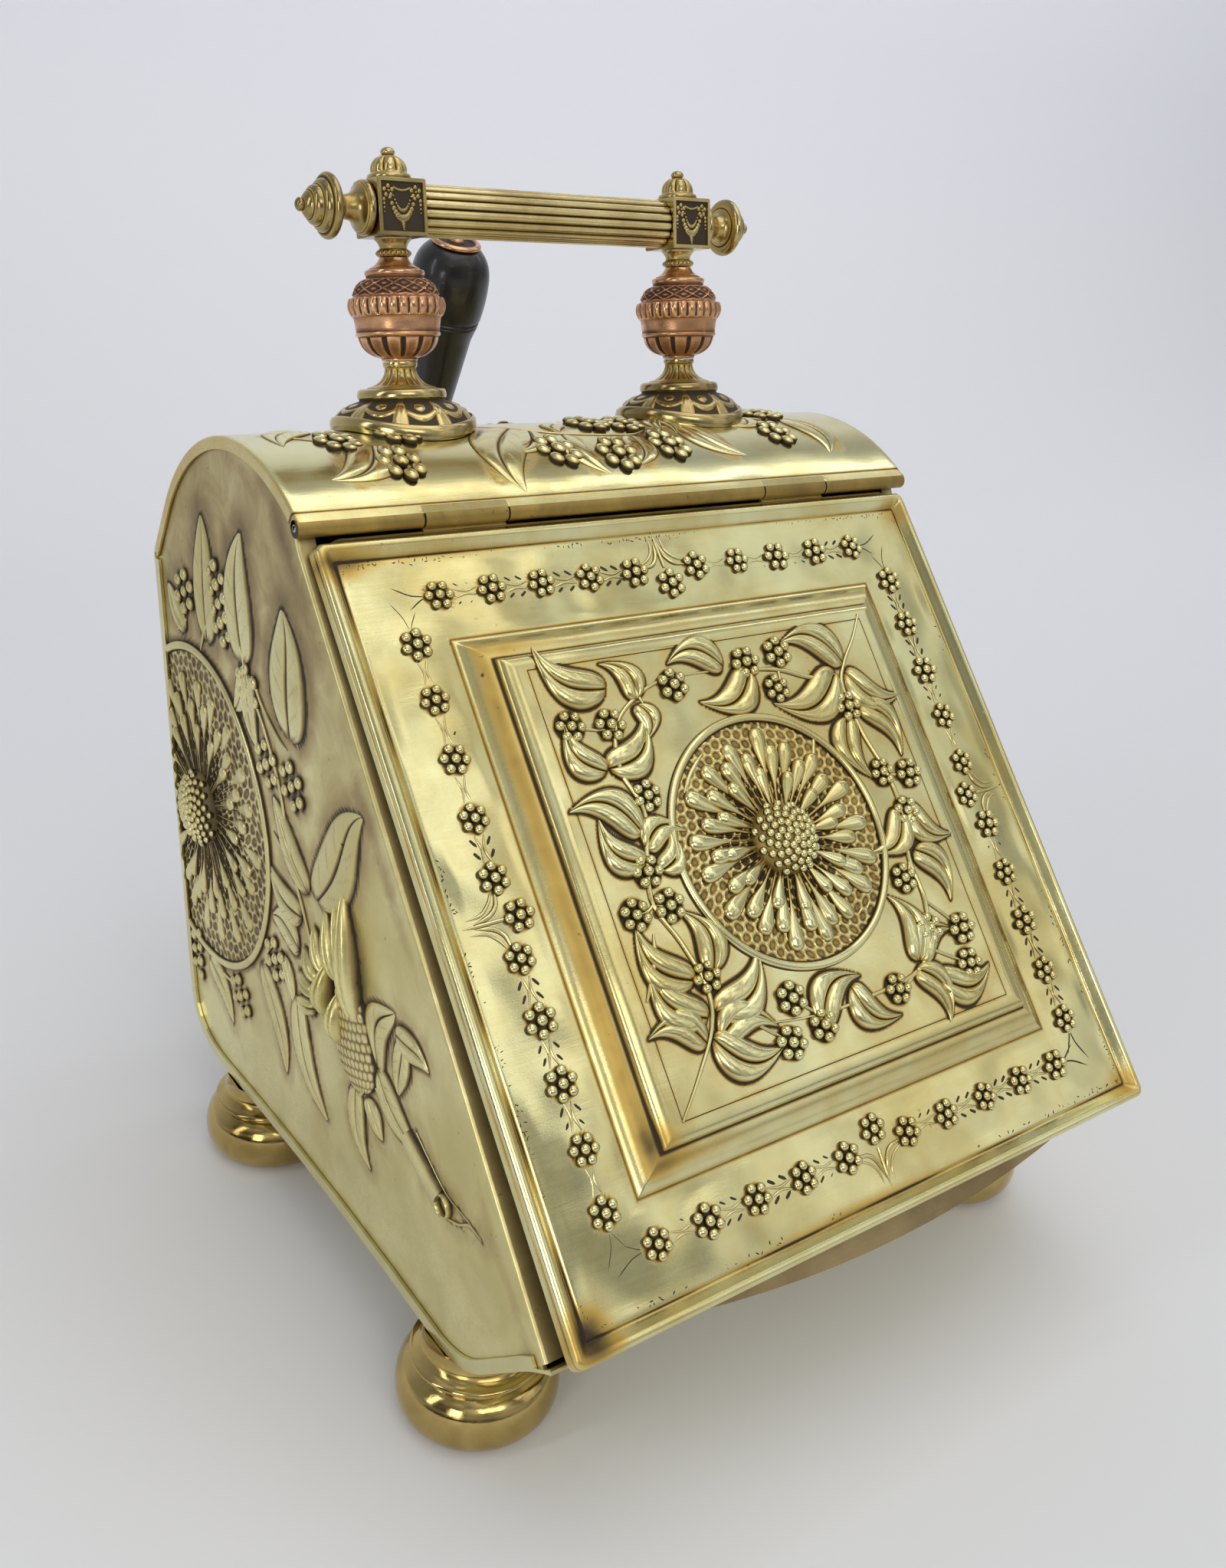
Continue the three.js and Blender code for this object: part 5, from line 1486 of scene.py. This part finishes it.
# Waves die away towards the turned edges, so that the panel stays under them.
def fadeAt(y, z):
    along = np.array(panelSide["top"]) - np.array(panelSide["toe"])
    along /= np.linalg.norm(along)
    edge = (y - panelSide["toe"][0]) * along[1] - (z - panelSide["toe"][1]) * along[0]
    under = np.interp(y, floorCurve(0)[::3, 0], floorCurve(0)[::3, 1])
    hood = 90 - np.hypot(y - case["hoodY"], z - case["hoodZ"])
    back = backAt(z) - y
    far = np.minimum(np.minimum(edge, z - under), back) - 8
    far = np.where(z > 250, np.minimum(far, np.where(y > 20, hood, far)), far)
    return eased(np.clip(far / 22, 0, 1))


# Leaves as base y, z and tip y, z, then width, bend and flick.
sideLeaves = [
    (36, 231, 31, 280, 33, 0.12, 0.3), (79, 248, 86, 300, 28, 0.05, -0.25),
    (117, 246, 114, 299, 24, 0.1, 0.2), (14, 173, -8, 230, 29, -0.3, -0.6),
    (21, 173, 51, 204, 17, 0.2, 0.2), (77, 247, 88, 224, 13, 0.1, -0.2),
    (75, 246, 70, 216, 15, -0.1, 0.2), (27, 160, 60, 166, 17, 0.2, -0.2),
    (30, 144, 57, 150, 17, -0.15, 0.2), (70, 119, 42, 79, 17, 0.15, -0.35),
    (132, 90, 103, 72, 16, 0.2, -0.3), (46, 134, 36, 116, 10, 0.1, -0.2),
    (142, 244, 160, 262, 13, 0.1, 0.2), (34, 122, 12, 74, 19, -0.3, 0.3),
    (-37, 128, -52, 156, 19, 0.5, 0.2), (-50, 150, -73, 154, 13, -0.1, -0.5),
    (-56, 150, -50, 126, 13, 0.1, 0.2), (-19, 110, -24, 77, 15, -0.1, 0.5),
    (-28, 110, -38, 96, 12, 0.2, 0.3), (-36, 127, -66, 109, 17, -0.15, 0.1),
]
# Bunches of berries: middle y and z, then how many across, how many down, and the lean.
sideBunches = [
    (140, 262, 3, 4, 0.1), (101, 267, 3, 6, -0.25), (74, 240, 3, 4, -0.2), (57, 214, 3, 4, -0.2),
    (34, 213, 3, 4, -0.2), (54, 128, 3, 4, -0.1), (94, 89, 3, 4, -0.25), (146, 86, 2, 4, 0.0),
]


def bunchPlaces():
    out = []
    for y, z, across, down, lean in sideBunches:
        for i in range(across):
            offset = i - (across - 1) / 2
            for k in range(down - (i % 2)):
                rise = (k - (down - 1) / 2 + 0.5 * (i % 2)) * 7.4
                if abs(offset) < 1 or 0 < k < down - 1:
                    out.append((y + offset * 6.8 - lean * rise, z + rise))
    return out


sideBerries = bunchPlaces()
sideStems = [
    [(84, 258), (73, 242), (58, 226), (46, 208), (40, 190), (34, 176), (26, 164), (18, 152), (8, 148)],
    [(70, 246), (60, 236), (46, 228), (39, 226)], [(140, 250), (146, 246), (152, 242)],
    [(106, 262), (118, 252), (126, 240)], [(66, 120), (62, 128), (56, 134)],
    [(130, 91), (112, 90), (98, 92)], [(34, 176), (44, 182), (54, 186)],
    [(-22, 106), (-26, 112), (-30, 118)],
]


thistleCup = {"tip": (25, 110), "top": (9, 160), "width": 36.0, "height": 4.6, "rows": 120, "columns": 81}
# Leaves over the cup: base y, z, tip y, z, width and height.
thistleLeaves = [
    (2, 130, 0, 153, 9, 8.2), (-12, 125, -11, 147, 9, 8.6), (-22, 138, -13, 189, 12, 7.0),
    (-6, 148, 3, 174, 9, 5.0), (4, 146, 14, 163, 8, 4.6), (10, 140, 24, 150, 8, 4.4),
    (14, 132, 31, 136, 8, 3.8), (15, 125, 34, 122, 8, 3.6), (-14, 150, -4, 181, 7, 4.6),
]


# The thistle bud hangs head down: a stippled cup with long scales, fine hairs, leaves over it and a cut stem.
def thistle(shell):
    cup = thistleCup
    base, top = np.array(cup["tip"], float), np.array(cup["top"], float)
    along = top - base
    length = np.linalg.norm(along)
    along /= length
    across = np.array([-along[1], along[0]])
    s = np.linspace(0.01, 0.99, cup["rows"])[:, None]
    q = np.linspace(-1, 1, cup["columns"])[None, :]
    half = cup["width"] / 2 * np.sin(math.pi * s**0.72) ** 0.6 * (1 - 0.25 * s)
    dome = np.sqrt(np.clip(1 - q**2, 0, 1))
    scales = 0.5 * np.abs(np.sin(s * 44)) * np.abs(np.sin(q * 17 + (s * 44 / math.pi).astype(int) * 1.57))
    z = cup["height"] * dome * np.sin(math.pi * s**0.8) ** 0.5 + scales * dome - 0.1
    x = base[0] + along[0] * s * length + across[0] * half * q
    y = base[1] + along[1] * s * length + across[1] * half * q
    age = glow(1 - np.abs(q), 0.07) + 0.6 * (1 - scales / 0.5) ** 2
    shell.addNet(np.stack([x, y, z], -1), np.clip(age, 0, 1), -0.5)
    for by, bz, ty, tz, width, height in thistleLeaves:
        addLeaf(shell, (-by, bz), (-ty, tz), width, height=height, bend=0.15, flick=0.3, veins=9)
    for k in range(9):
        angle = math.radians(205 + k * 14)
        turns = ((0, 0), (7, angle + 1.6), (14, angle + 1.7))
        hair = [(30 + far * math.cos(a), 126 + far * math.sin(a)) for far, a in turns]
        addRib(shell, hair, 0.9, 0.5, (0.9, 0.2), 5, 1.0, 3)
    # cut stem with an open end
    addRib(shell, [(60, 113), (72, 107), (84, 102)], 11, 3.0, (0.9, 1.0), 13, 0.95, 8)
    addRing(shell, (87, 101), 4.2, 1.3, 2.4, 0.9, 40, 7)
    addRib(shell, [(86, 96), (96, 99), (104, 104), (112, 103)], 1.2, 0.7, (1, 0.1), 7, 0.9, 6)
    addRib(shell, [(66, 118), (76, 112), (88, 106), (100, 105), (111, 103.5)], 0.8, 0.5, (1, 0.1), 5, 1.0, 6)


sideNet = {"rows": 150, "clear": 0.2}
# How dark the edge is as it rolls over, row by row.
rollAge = [0.22, 0.1, 0.14, 0.2, 0.26, 0.3, 0.32, 0.4, 0.5, 0.6, 0.7, 0.8]


# Darkness of the side's ground, closest and darkest round the leaves, the berries and the medallion, with
# painted shade making it darker towards the top.
def sidePatinaAndShade(y, z, low, along):
    spots = []
    for by, bz, ty, tz, width, bow, flick in sideLeaves:
        leaf = leafNet((-by, bz), (-ty, tz), width, bend=bow, flick=flick)[0]
        spots += [(-u, v) for u, v in leafSpots(leaf)]
    bud = Shell()
    thistle(bud)
    spots += [(-p[0], p[1]) for p in bud.points[::9]]
    age = 0.8 * haloed(y, z, spots, 0.2, 1.2)
    age = np.maximum(age, 0.8 * haloed(y, z, sideBerries, 2.6, 1.4))
    age = np.maximum(age, 0.24 * haloed(y, z, [*spots, *sideBerries], 2.0, 7.0))
    far = np.abs(np.hypot(y - panelSide["medallionY"], z - panelSide["medallionZ"]) - sideFlower["radius"])
    age = np.maximum(age, 0.6 * glow(np.clip(far - 2, 0, None), 2.2))
    edge = (y - panelSide["toe"][0]) * along[1] - (z - panelSide["toe"][1]) * along[0]
    age = age + 0.22 * glow(edge - 9, 5.0) * (0.6 + 0.4 * np.sin(z * 0.06 + 2))
    age = age + 0.25 * glow(z - low[:, None], 9)
    # painted shade: the ground is made darker towards the top of the panel
    return age + 0.32 * np.clip((z - 170) / 130, 0, 1)


def sideShell(sign):
    bend, fold, sheet, toe = panelSide["bend"], panelSide["fold"], panelSide["sheet"], panelSide["toe"]
    along = np.array(panelSide["top"]) - np.array(toe)
    along /= np.linalg.norm(along)
    out = np.array([-along[1], along[0]])
    first, last, rows = toe[0] + sideNet["clear"], case["backTopY"] - 1.6, sideNet["rows"]
    front, middle = np.linspace(first, -126, 24)[:-1], np.linspace(-126, 150, 176)[:-1]
    y = np.concatenate([front, middle, np.linspace(150, last, 26)])
    low, high = sideLimits(y)
    high = np.maximum(high, low + 0.5)
    z = low[:, None] + (high - low)[:, None] * np.linspace(0, 1, rows)[None, :]
    yy = np.broadcast_to(y[:, None], z.shape)
    x = case["panelHalf"] + panelSide["proud"] + waviness(yy * 0.55, z * 0.55, 0.5) * fadeAt(yy, z)
    # the top row moves back from the edge by the bend, then the edge rolls over inwards
    pull = glow(high[:, None] - z, 2.5) * bend
    strips = [np.stack([x, yy - out[0] * pull, z - out[1] * pull], -1)]
    edge = strips[0][:, -1]
    for a in np.radians([12, 28, 45, 62, 80, 90]):
        across, down = -bend * (1 - math.cos(a)), bend * math.sin(a)
        strips.append((edge + np.array([across, out[0] * down, out[1] * down]))[:, None])
    rolled = strips[-1][:, 0]
    for inwards in (2.0, 4.0, fold - bend - 0.3, fold - bend):
        strips.append((rolled - [inwards, 0, 0])[:, None])
    under = strips[-1][:, 0] - np.array([0, out[0], out[1]]) * sheet
    strips += [under[:, None], (under + [fold - bend - sheet + 0.2, 0, 0])[:, None]]
    net = np.concatenate(strips, axis=1)
    age = sidePatinaAndShade(net[:, :rows, 1], net[:, :rows, 2], low, along)
    whole = np.concatenate([age, np.tile(rollAge, (len(y), 1))], 1)
    shell = Shell()
    shell.addNet(net, np.clip(whole, 0, 1), 0)
    # the inside of the sheet takes the place of the net's flat underside
    index = np.arange(net.shape[0] * net.shape[1]).reshape(net.shape[:2])
    loop = [*index[0, :-1], *index[:-1, -1], *index[-1, :0:-1], *index[:0:-1, 0]]
    points = np.array(shell.points)
    points[index.size:] = points[loop]
    points[index.size:, 0] = case["panelHalf"] - sheet
    points[:, 0] *= sign
    shell.points = list(points)
    shell.patina[index.size:] = [0.6] * len(loop)
    return shell


def makeSide(side, sign):
    name, wrap, mirrored = "side" + side.title(), onSide(sign), sign > 0
    shell = sideShell(sign)
    makePiece(name, shell, wrapFlat(wholeCase), *sidePart, (f"side_panel_{side}",), 40, not mirrored)
    middle = (-panelSide["medallionY"], panelSide["medallionZ"])
    medallion(name + "Flower", wrap, middle, sideFlower, sidePart, 8, mirrored, withinSide)
    leaves = Shell()
    for by, bz, ty, tz, width, bow, flick in sideLeaves:
        addLeaf(leaves, (-by, bz), (-ty, tz), width, height=1.7, bend=bow, flick=flick)
    for path in sideStems:
        addRib(leaves, [(-y, z) for y, z in path], 2.0, 1.1, (0.8, 0.4), 9, 0.95, 6)
    thistle(leaves)
    makePiece(name + "Leaves", leaves, wrap, *sidePart, (), 62, mirrored)
    sizes = np.random.default_rng(21).uniform(0.9, 1.08, len(sideBerries))
    values = {"Bead radius": 0.0028, "Height": 0.7}
    places = [(-y, z, 0.3) for y, z in sideBerries]
    grow(name + "Berries", beads, values, wrap, places, *sidePart, sizes=sizes)


sideFlower = {
    "radius": 72.0, "ring": 4.0, "pitch": 6.0, "boss": 16.5, "bossHeight": 7.5, "pearl": 1.75, "pearls": 84,
    "rays": 150, "stagger": 0.5,
    "tiers": ((20, 63.0, 8.6, 1.9), (20, 53.0, 8.0, 2.1), (16, 42.0, 7.0, 2.1)),
}
for side, sign in (("left", -1), ("right", 1)):
    makeSide(side, sign)
print("stage: sides made")

# Hood: a smooth sheet bent over the case, with turned edges and rolled knuckles
# Places on it are x, then the length round the arc from straight up, towards the lid positive.
hood = {
    "sheet": 1.2, "flange": 5.0, "bend": 1.1, "wave": 0.35, "calmFrom": 126, "across": 130, "frontRows": 24,
    "backRows": 100, "flatRows": 10,
}


# How high the sheet waves there. It lies still towards its edges.
def hoodWave(x, along):
    calm = np.clip((hood["calmFrom"] - np.abs(x)) / 20, 0, 1) * np.clip((48 - along) / 16, 0, 1)
    return waviness(x * 0.7, along * 0.7, hood["wave"]) * calm


def onHood(points):
    points = np.array(points, float)
    angle = math.pi / 2 + points[:, 1] / case["hoodRadius"]
    r = case["hoodRadius"] + points[:, 2] * np.clip((54 - points[:, 1]) / 16, 0.15, 1)
    r = r + hoodWave(points[:, 0], points[:, 1])
    y, z = case["hoodY"] + r * np.cos(angle) + shiftY, case["hoodZ"] + r * np.sin(angle)
    return np.stack([-points[:, 0], y, z], -1)


def hoodAt(x, degrees):
    return (-x, math.radians(degrees - 90) * case["hoodRadius"])


# The hood's section: x across, and how deep under the top of the sheet.
def hoodSection():
    half, sheet, flange, bend = case["wrapHalf"], hood["sheet"], hood["flange"], hood["bend"]
    turns = np.radians([0, 20, 40, 60, 80, 90])
    corner = [(half - bend + bend * math.sin(a), bend - bend * math.cos(a)) for a in turns]
    xs = list(np.linspace(-half + bend, half - bend, hood["across"])[1:-1])
    for at in (hinge["inner"] - 0.25, hinge["inner"] - 0.2, hinge["outer"] + 0.2, hinge["outer"] + 0.25):
        xs += [-at, at]
    right = [*corner, (half, 2.6), (half, flange)]
    outer = [(-x, d) for x, d in reversed(right)] + [(x, 0.0) for x in sorted(xs)] + right
    inner = [(half - sheet, flange), (half - sheet, sheet), (half - sheet - 6, sheet)]
    return np.array(outer + inner + [(-x, d) for x, d in reversed(inner)]), len(outer)


def hoodShell():
    radius, half, flats = case["hoodRadius"], case["wrapHalf"], hood["flatRows"]
    section, wall = hoodSection()
    back = np.linspace(case["hoodFrom"], 118, hood["backRows"])
    stops = np.radians([*back, *np.linspace(118.35, case["hoodTo"], hood["frontRows"])])
    net = []
    # a flat strip from the back panel's top up to the arc
    start = np.array([case["backTopY"], case["backTopZ"]])
    middle = np.array([case["hoodY"], case["hoodZ"]])
    rise = middle + radius * np.array([math.cos(stops[0]), math.sin(stops[0])]) - start
    lean = math.atan2(rise[1], rise[0]) + math.pi / 2
    inward = np.array([math.cos(lean), math.sin(lean)])
    for t in np.linspace(0, 0.97, flats):
        net.append([(x, *(start + rise * t + inward * d)) for x, d in section])
    for a in stops:
        along, spread = (a - math.pi / 2) * radius, []
        for k, (x, d) in enumerate(section):
            # between the knuckles the front edge stands back, to clear those of the lid
            cut = hinge["inner"] - 0.22 < abs(x) < hinge["outer"] + 0.22 and k < wall
            held = min(a, stops[-1] - 3.3 / radius) if cut else a
            r = radius - d + (float(hoodWave(-x, along)) if k < wall and d < 0.01 else 0.0)
            spread.append((x, case["hoodY"] + r * math.cos(held), case["hoodZ"] + r * math.sin(held)))
        net.append(spread)
    net = np.array(net)
    index, quads = loopedFaces(*net.shape[:2])
    x, arc = net[..., 0], np.concatenate([np.full(flats, stops[0]), stops])[:, None]
    isOuter = (np.arange(net.shape[1]) < wall)[None, :]
    near = haloed(-x, (arc - math.pi / 2) * radius + 0 * x, hoodHalo(), 0.2, 1.0) * 0.42
    toEdge = (stops[-1] - arc) * radius
    edge = glow(half - np.abs(x), 1.6) * 0.25 + glow(toEdge - 4.4, 0.5) * 0.75 + 0.16 * (toEdge < 4.4)
    age = np.where(isOuter & (np.abs(x) < 140), near, 0.0) + edge + np.where(isOuter, 0, 0.6)
    shell = Shell()
    shell.add(net, [*quads, list(index[0]), list(index[-1][::-1])], np.clip(age, 0, 1))
    return shell


# Leaves as base and tip, in x and degrees round the arc, and width.
hoodLeaves = [
    (-102, 100, -122, 118, 21), (-32, 92, -63, 119.5, 25), (-26, 95, -43, 110, 15),
    (-14, 99, -15, 119, 15), (18, 102, 11, 117.5, 15), (51, 97, 61, 116.5, 17), (117, 94, 125, 115, 19),
    (-118, 84, -141, 95, 16), (-92, 86, -80, 98, 14), (48, 88, 36, 99, 9), (49, 88, 48, 102, 9),
    (50, 88, 60, 99, 9), (96, 92, 84, 101, 13), (-6, 90, -16, 96, 11), (-60, 60, -82, 52, 20),
    (-30, 62, -46, 74, 19), (0, 58, 8, 74, 18), (34, 62, 52, 54, 19), (64, 60, 84, 70, 20),
    (-96, 62, -118, 70, 20), (100, 58, 120, 50, 19),
]
hoodBerries = [
    (-114, 97), (-98, 110), (-25, 108), (2, 111), (32, 108), (98, 105), (8, 91), (25, 93), (-86, 94),
    (112, 88), (-72, 62), (-44, 60), (-12, 64), (20, 60), (48, 64), (76, 58), (106, 64), (-106, 58),
]
hoodVines = [
    [(-140, 88), (-122, 95), (-104, 100)],
    [(-50, 86), (-32, 92), (-14, 98), (18, 101), (34, 97), (52, 96)], [(88, 86), (100, 92), (117, 94)],
    [(-118, 62), (-84, 58), (-50, 62), (-14, 58), (20, 62), (54, 58), (88, 62), (118, 58)],
]


def hoodHalo():
    spots = []
    for x, degrees, tipX, tipDegrees, width in hoodLeaves:
        spots += leafSpots(leafNet(hoodAt(x, degrees), hoodAt(tipX, tipDegrees), width)[0])
    for x, degrees in hoodBerries:
        u, v = hoodAt(x, degrees)
        for a in np.linspace(0, 2 * math.pi, 13)[:-1]:
            spots.append((u + 6.5 * math.cos(a), v + 6.5 * math.sin(a)))
    return spots


def makeHood():
    rolled, half, joint = [], case["wrapHalf"], hinge["joint"]
    inner, outer = hinge["inner"] - joint, hinge["outer"] + joint
    for low, high in ((-half, -outer), (-inner, inner), (outer, half)):
        part = tube(hinge["bore"], hinge["barrel"], low, high)
        part.points = list(np.array(part.points) + [0, case["hingeY"], case["hingeZ"]])
        rolled.append(part)
    makePiece("hoodSheet", joined(hoodShell(), *rolled), wrapFlat(wholeCase), *hoodPart, ("hood",), 40)
    leaves = Shell()
    for k, (x, degrees, tipX, tipDegrees, width) in enumerate(hoodLeaves):
        hand = -1 if k % 2 else 1
        bow = {"bend": 0.14 * hand, "flick": -0.45 * hand}
        addLeaf(leaves, hoodAt(x, degrees), hoodAt(tipX, tipDegrees), width, height=1.3, **bow)
    for path in hoodVines:
        addRib(leaves, [hoodAt(*p) for p in path], 1.5, 0.6, (0.2, 0.2), 9, 0.9, 6)
    makePiece("hoodLeaves", leaves, onHood, *hoodPart, (), 62)
    dice = np.random.default_rng(4)
    places = [(*hoodAt(x, degrees), 0.5) for x, degrees in hoodBerries]
    spins, sizes = dice.uniform(80, 100, len(places)), dice.uniform(0.94, 1.06, len(places))
    values = {"Berry radius": 0.0028, "Ring radius": 0.0064, "Height": 0.68, "Around": 7, "Long": 1.35}
    grow("hoodBerries", berries, values, onHood, places, *hoodPart, spins, sizes)


makeHood()
print("stage: hood made")

# Studio
studio = {
    "floor": (0.83, 0.835, 0.87), "wall": (0.88, 0.885, 0.95), "floorRough": 0.55,
    "sweepFront": -3.0, "sweepBack": 1.75, "sweepRadius": 0.7, "sweepTop": 4.5, "sweepHalf": 12.0,
}


def paleSweep():
    profile = [(studio["sweepFront"], 0.0), (studio["sweepBack"] - studio["sweepRadius"], 0.0)]
    for i in range(1, 17):
        angle = math.pi / 2 * i / 16
        r = studio["sweepRadius"]
        profile.append((studio["sweepBack"] - r + r * math.sin(angle), r - r * math.cos(angle)))
    profile.append((studio["sweepBack"], studio["sweepTop"]))
    half = studio["sweepHalf"]
    points = [(x, y, z) for y, z in profile for x in (-half, half)]
    faces = [(2 * i, 2 * i + 1, 2 * i + 3, 2 * i + 2) for i in range(len(profile) - 1)]
    mesh = bpy.data.meshes.new("paleSweep")
    mesh.from_pydata(points, [], faces)
    mesh.shade_smooth()
    g = Graph("paleBoard")
    height = g.make("SeparateXYZ", {}, {"Vector": g.make("TexCoord", output="Object")}, output="Z")
    color = g.mixed(g.between(height, 0.0, 0.75), studio["floor"], studio["wall"])
    sockets = {"Base Color": color, "Roughness": studio["floorRough"], "Specular IOR Level": 0.25}
    mesh.materials.append(g.finish(sockets))
    sweep = placed("paleSweep", mesh)


paleSweep()

# Soft boxes: where each stands, what it looks at, its size, power and color.
lamps = {
    "topSoft": {
        "at": (0.1, -0.35, 1.9), "to": (0, 0, 0.2), "size": (1.5, 1.2),
        "power": 5.5, "color": (1.0, 0.99, 0.97),
    },
    "leftSoft": {
        "at": (-1.7, 0.05, 1.0), "to": (0, 0, 0.2), "size": (0.24, 1.3),
        "power": 3.6, "color": (0.95, 0.97, 1.0),
    },
    "rightLow": {
        "at": (1.15, -1.25, 0.62), "to": (0, 0, 0.2), "size": (0.9, 0.8),
        "power": 0.85, "color": (1.0, 0.96, 0.9),
    },
    "rightSoft": {
        "at": (0.8, -1.25, 1.55), "to": (0, 0, 0.2), "size": (0.5, 0.8),
        "power": 1.15, "color": (1.0, 0.97, 0.93),
    },
    "frontSoft": {
        "at": (-0.4, -1.6, 1.15), "to": (0, -0.25, 0.1), "size": (1.0, 0.5),
        "power": 4.0, "color": (1.0, 0.95, 0.86),
    },
    "wallSoft": {
        "at": (1.9, 0.3, 1.9), "to": (2.1, 1.75, 0.9), "size": (3.6, 0.6),
        "power": 17.5, "color": (0.98, 0.98, 1.0),
    },
    "leftWindow": {
        "at": (-1.09, -0.70, 0.46), "to": (-0.08, -0.14, 0.12), "size": (0.3, 0.45),
        "power": 2.4, "color": (1.0, 0.98, 0.92),
    },
}
for name, lamp in lamps.items():
    light = bpy.data.lights.new(name, "AREA")
    light.shape = "RECTANGLE"
    light.size, light.size_y = lamp["size"]
    light.energy, light.color = lamp["power"], lamp["color"]
    holder = placed(name, light)
    holder.location = lamp["at"]
    holder.rotation_euler = (Vector(lamp["at"]) - Vector(lamp["to"])).to_track_quat("Z", "Y").to_euler()

# A pale room: dim near the horizon, bright overhead.
room = {
    "strength": 1.1, "tint": (0.985, 1.0, 0.985), "below": 0.10, "cloudScale": 2.6, "cloudFrom": 0.5,
    "cloudTo": 1.45, "leftDim": 0.22,
    "stops": (
        (0.50, 0.22), (0.60, 0.27), (0.67, 0.37), (0.75, 0.45), (0.84, 0.55), (0.90, 0.52), (1.0, 0.48),
    ),
}


def paleRoom():
    world = bpy.data.worlds.new("paleRoom")
    bpy.context.scene.world = world
    world.use_nodes = True
    sky = world.node_tree
    coordinates = sky.nodes.new("ShaderNodeTexCoord")
    split = sky.nodes.new("ShaderNodeSeparateXYZ")
    shades = sky.nodes.new("ShaderNodeValToRGB")
    lift = sky.nodes.new("ShaderNodeMath")
    lift.operation = "MULTIPLY_ADD"
    lift.inputs[1].default_value, lift.inputs[2].default_value = 0.5, 0.5
    ramp = shades.color_ramp
    ramp.elements[0].color = (*(c * room["below"] for c in room["tint"]), 1)
    while len(ramp.elements) < len(room["stops"]) + 1:
        ramp.elements.new(0.5)
    for element, (at, value) in zip(list(ramp.elements)[1:], room["stops"]):
        element.position, element.color = at, (*(c * value for c in room["tint"]), 1)
    sky.links.new(coordinates.outputs["Generated"], split.inputs[0])
    sky.links.new(split.outputs["Z"], lift.inputs[0])
    sky.links.new(lift.outputs[0], shades.inputs[0])
    # bright and dim places in the room, for the polished metal to mirror
    cloud = sky.nodes.new("ShaderNodeTexNoise")
    cloud.inputs["Scale"].default_value, cloud.inputs["Detail"].default_value = room["cloudScale"], 1.5
    span = sky.nodes.new("ShaderNodeMapRange")
    low, high = room["cloudFrom"] * room["strength"], room["cloudTo"] * room["strength"]
    for socket, value in ((1, 0.38), (2, 0.62), (3, low), (4, high)):
        span.inputs[socket].default_value = value
    sky.links.new(coordinates.outputs["Generated"], cloud.inputs["Vector"])
    sky.links.new(cloud.outputs[0], span.inputs[0])
    sky.links.new(shades.outputs[0], sky.nodes["Background"].inputs[0])
    # the room is dimmer towards the left wall
    leftShade = sky.nodes.new("ShaderNodeMapRange")
    for socket, value in ((1, -0.85), (2, -0.45), (3, room["leftDim"]), (4, 1.0)):
        leftShade.inputs[socket].default_value = value
    dimmed = sky.nodes.new("ShaderNodeMath")
    dimmed.operation = "MULTIPLY"
    sky.links.new(split.outputs["X"], leftShade.inputs[0])
    sky.links.new(span.outputs[0], dimmed.inputs[0])
    sky.links.new(leftShade.outputs[0], dimmed.inputs[1])
    sky.links.new(dimmed.outputs[0], sky.nodes["Background"].inputs[1])


paleRoom()

# Camera: where the photographer stood
viewpoint = {
    "at": (-353.0, -432.1, 430.8), "right": (0.81, -0.5826, 0.0671), "up": (0.1761, 0.3508, 0.9197),
    "lens": 32.61, "sensor": 36.0,
}
camera = bpy.data.objects.new("camera", bpy.data.cameras.new("camera"))
camera.data.lens, camera.data.sensor_width = viewpoint["lens"], viewpoint["sensor"]
camera.data.clip_start = 0.01
right = Vector(viewpoint["right"]).normalized()
up = (Vector(viewpoint["up"]) - right * right.dot(Vector(viewpoint["up"]))).normalized()
turn = Matrix((right, up, right.cross(up))).transposed().to_4x4()
x, y, z = viewpoint["at"]
camera.matrix_world = Matrix.Translation((x / 1000, (y + shiftY) / 1000, z / 1000)) @ turn
bpy.context.scene.collection.objects.link(camera)
bpy.context.scene.camera = camera
bpy.context.scene.view_settings.view_transform = "Standard"
print("stage: studio and camera set")
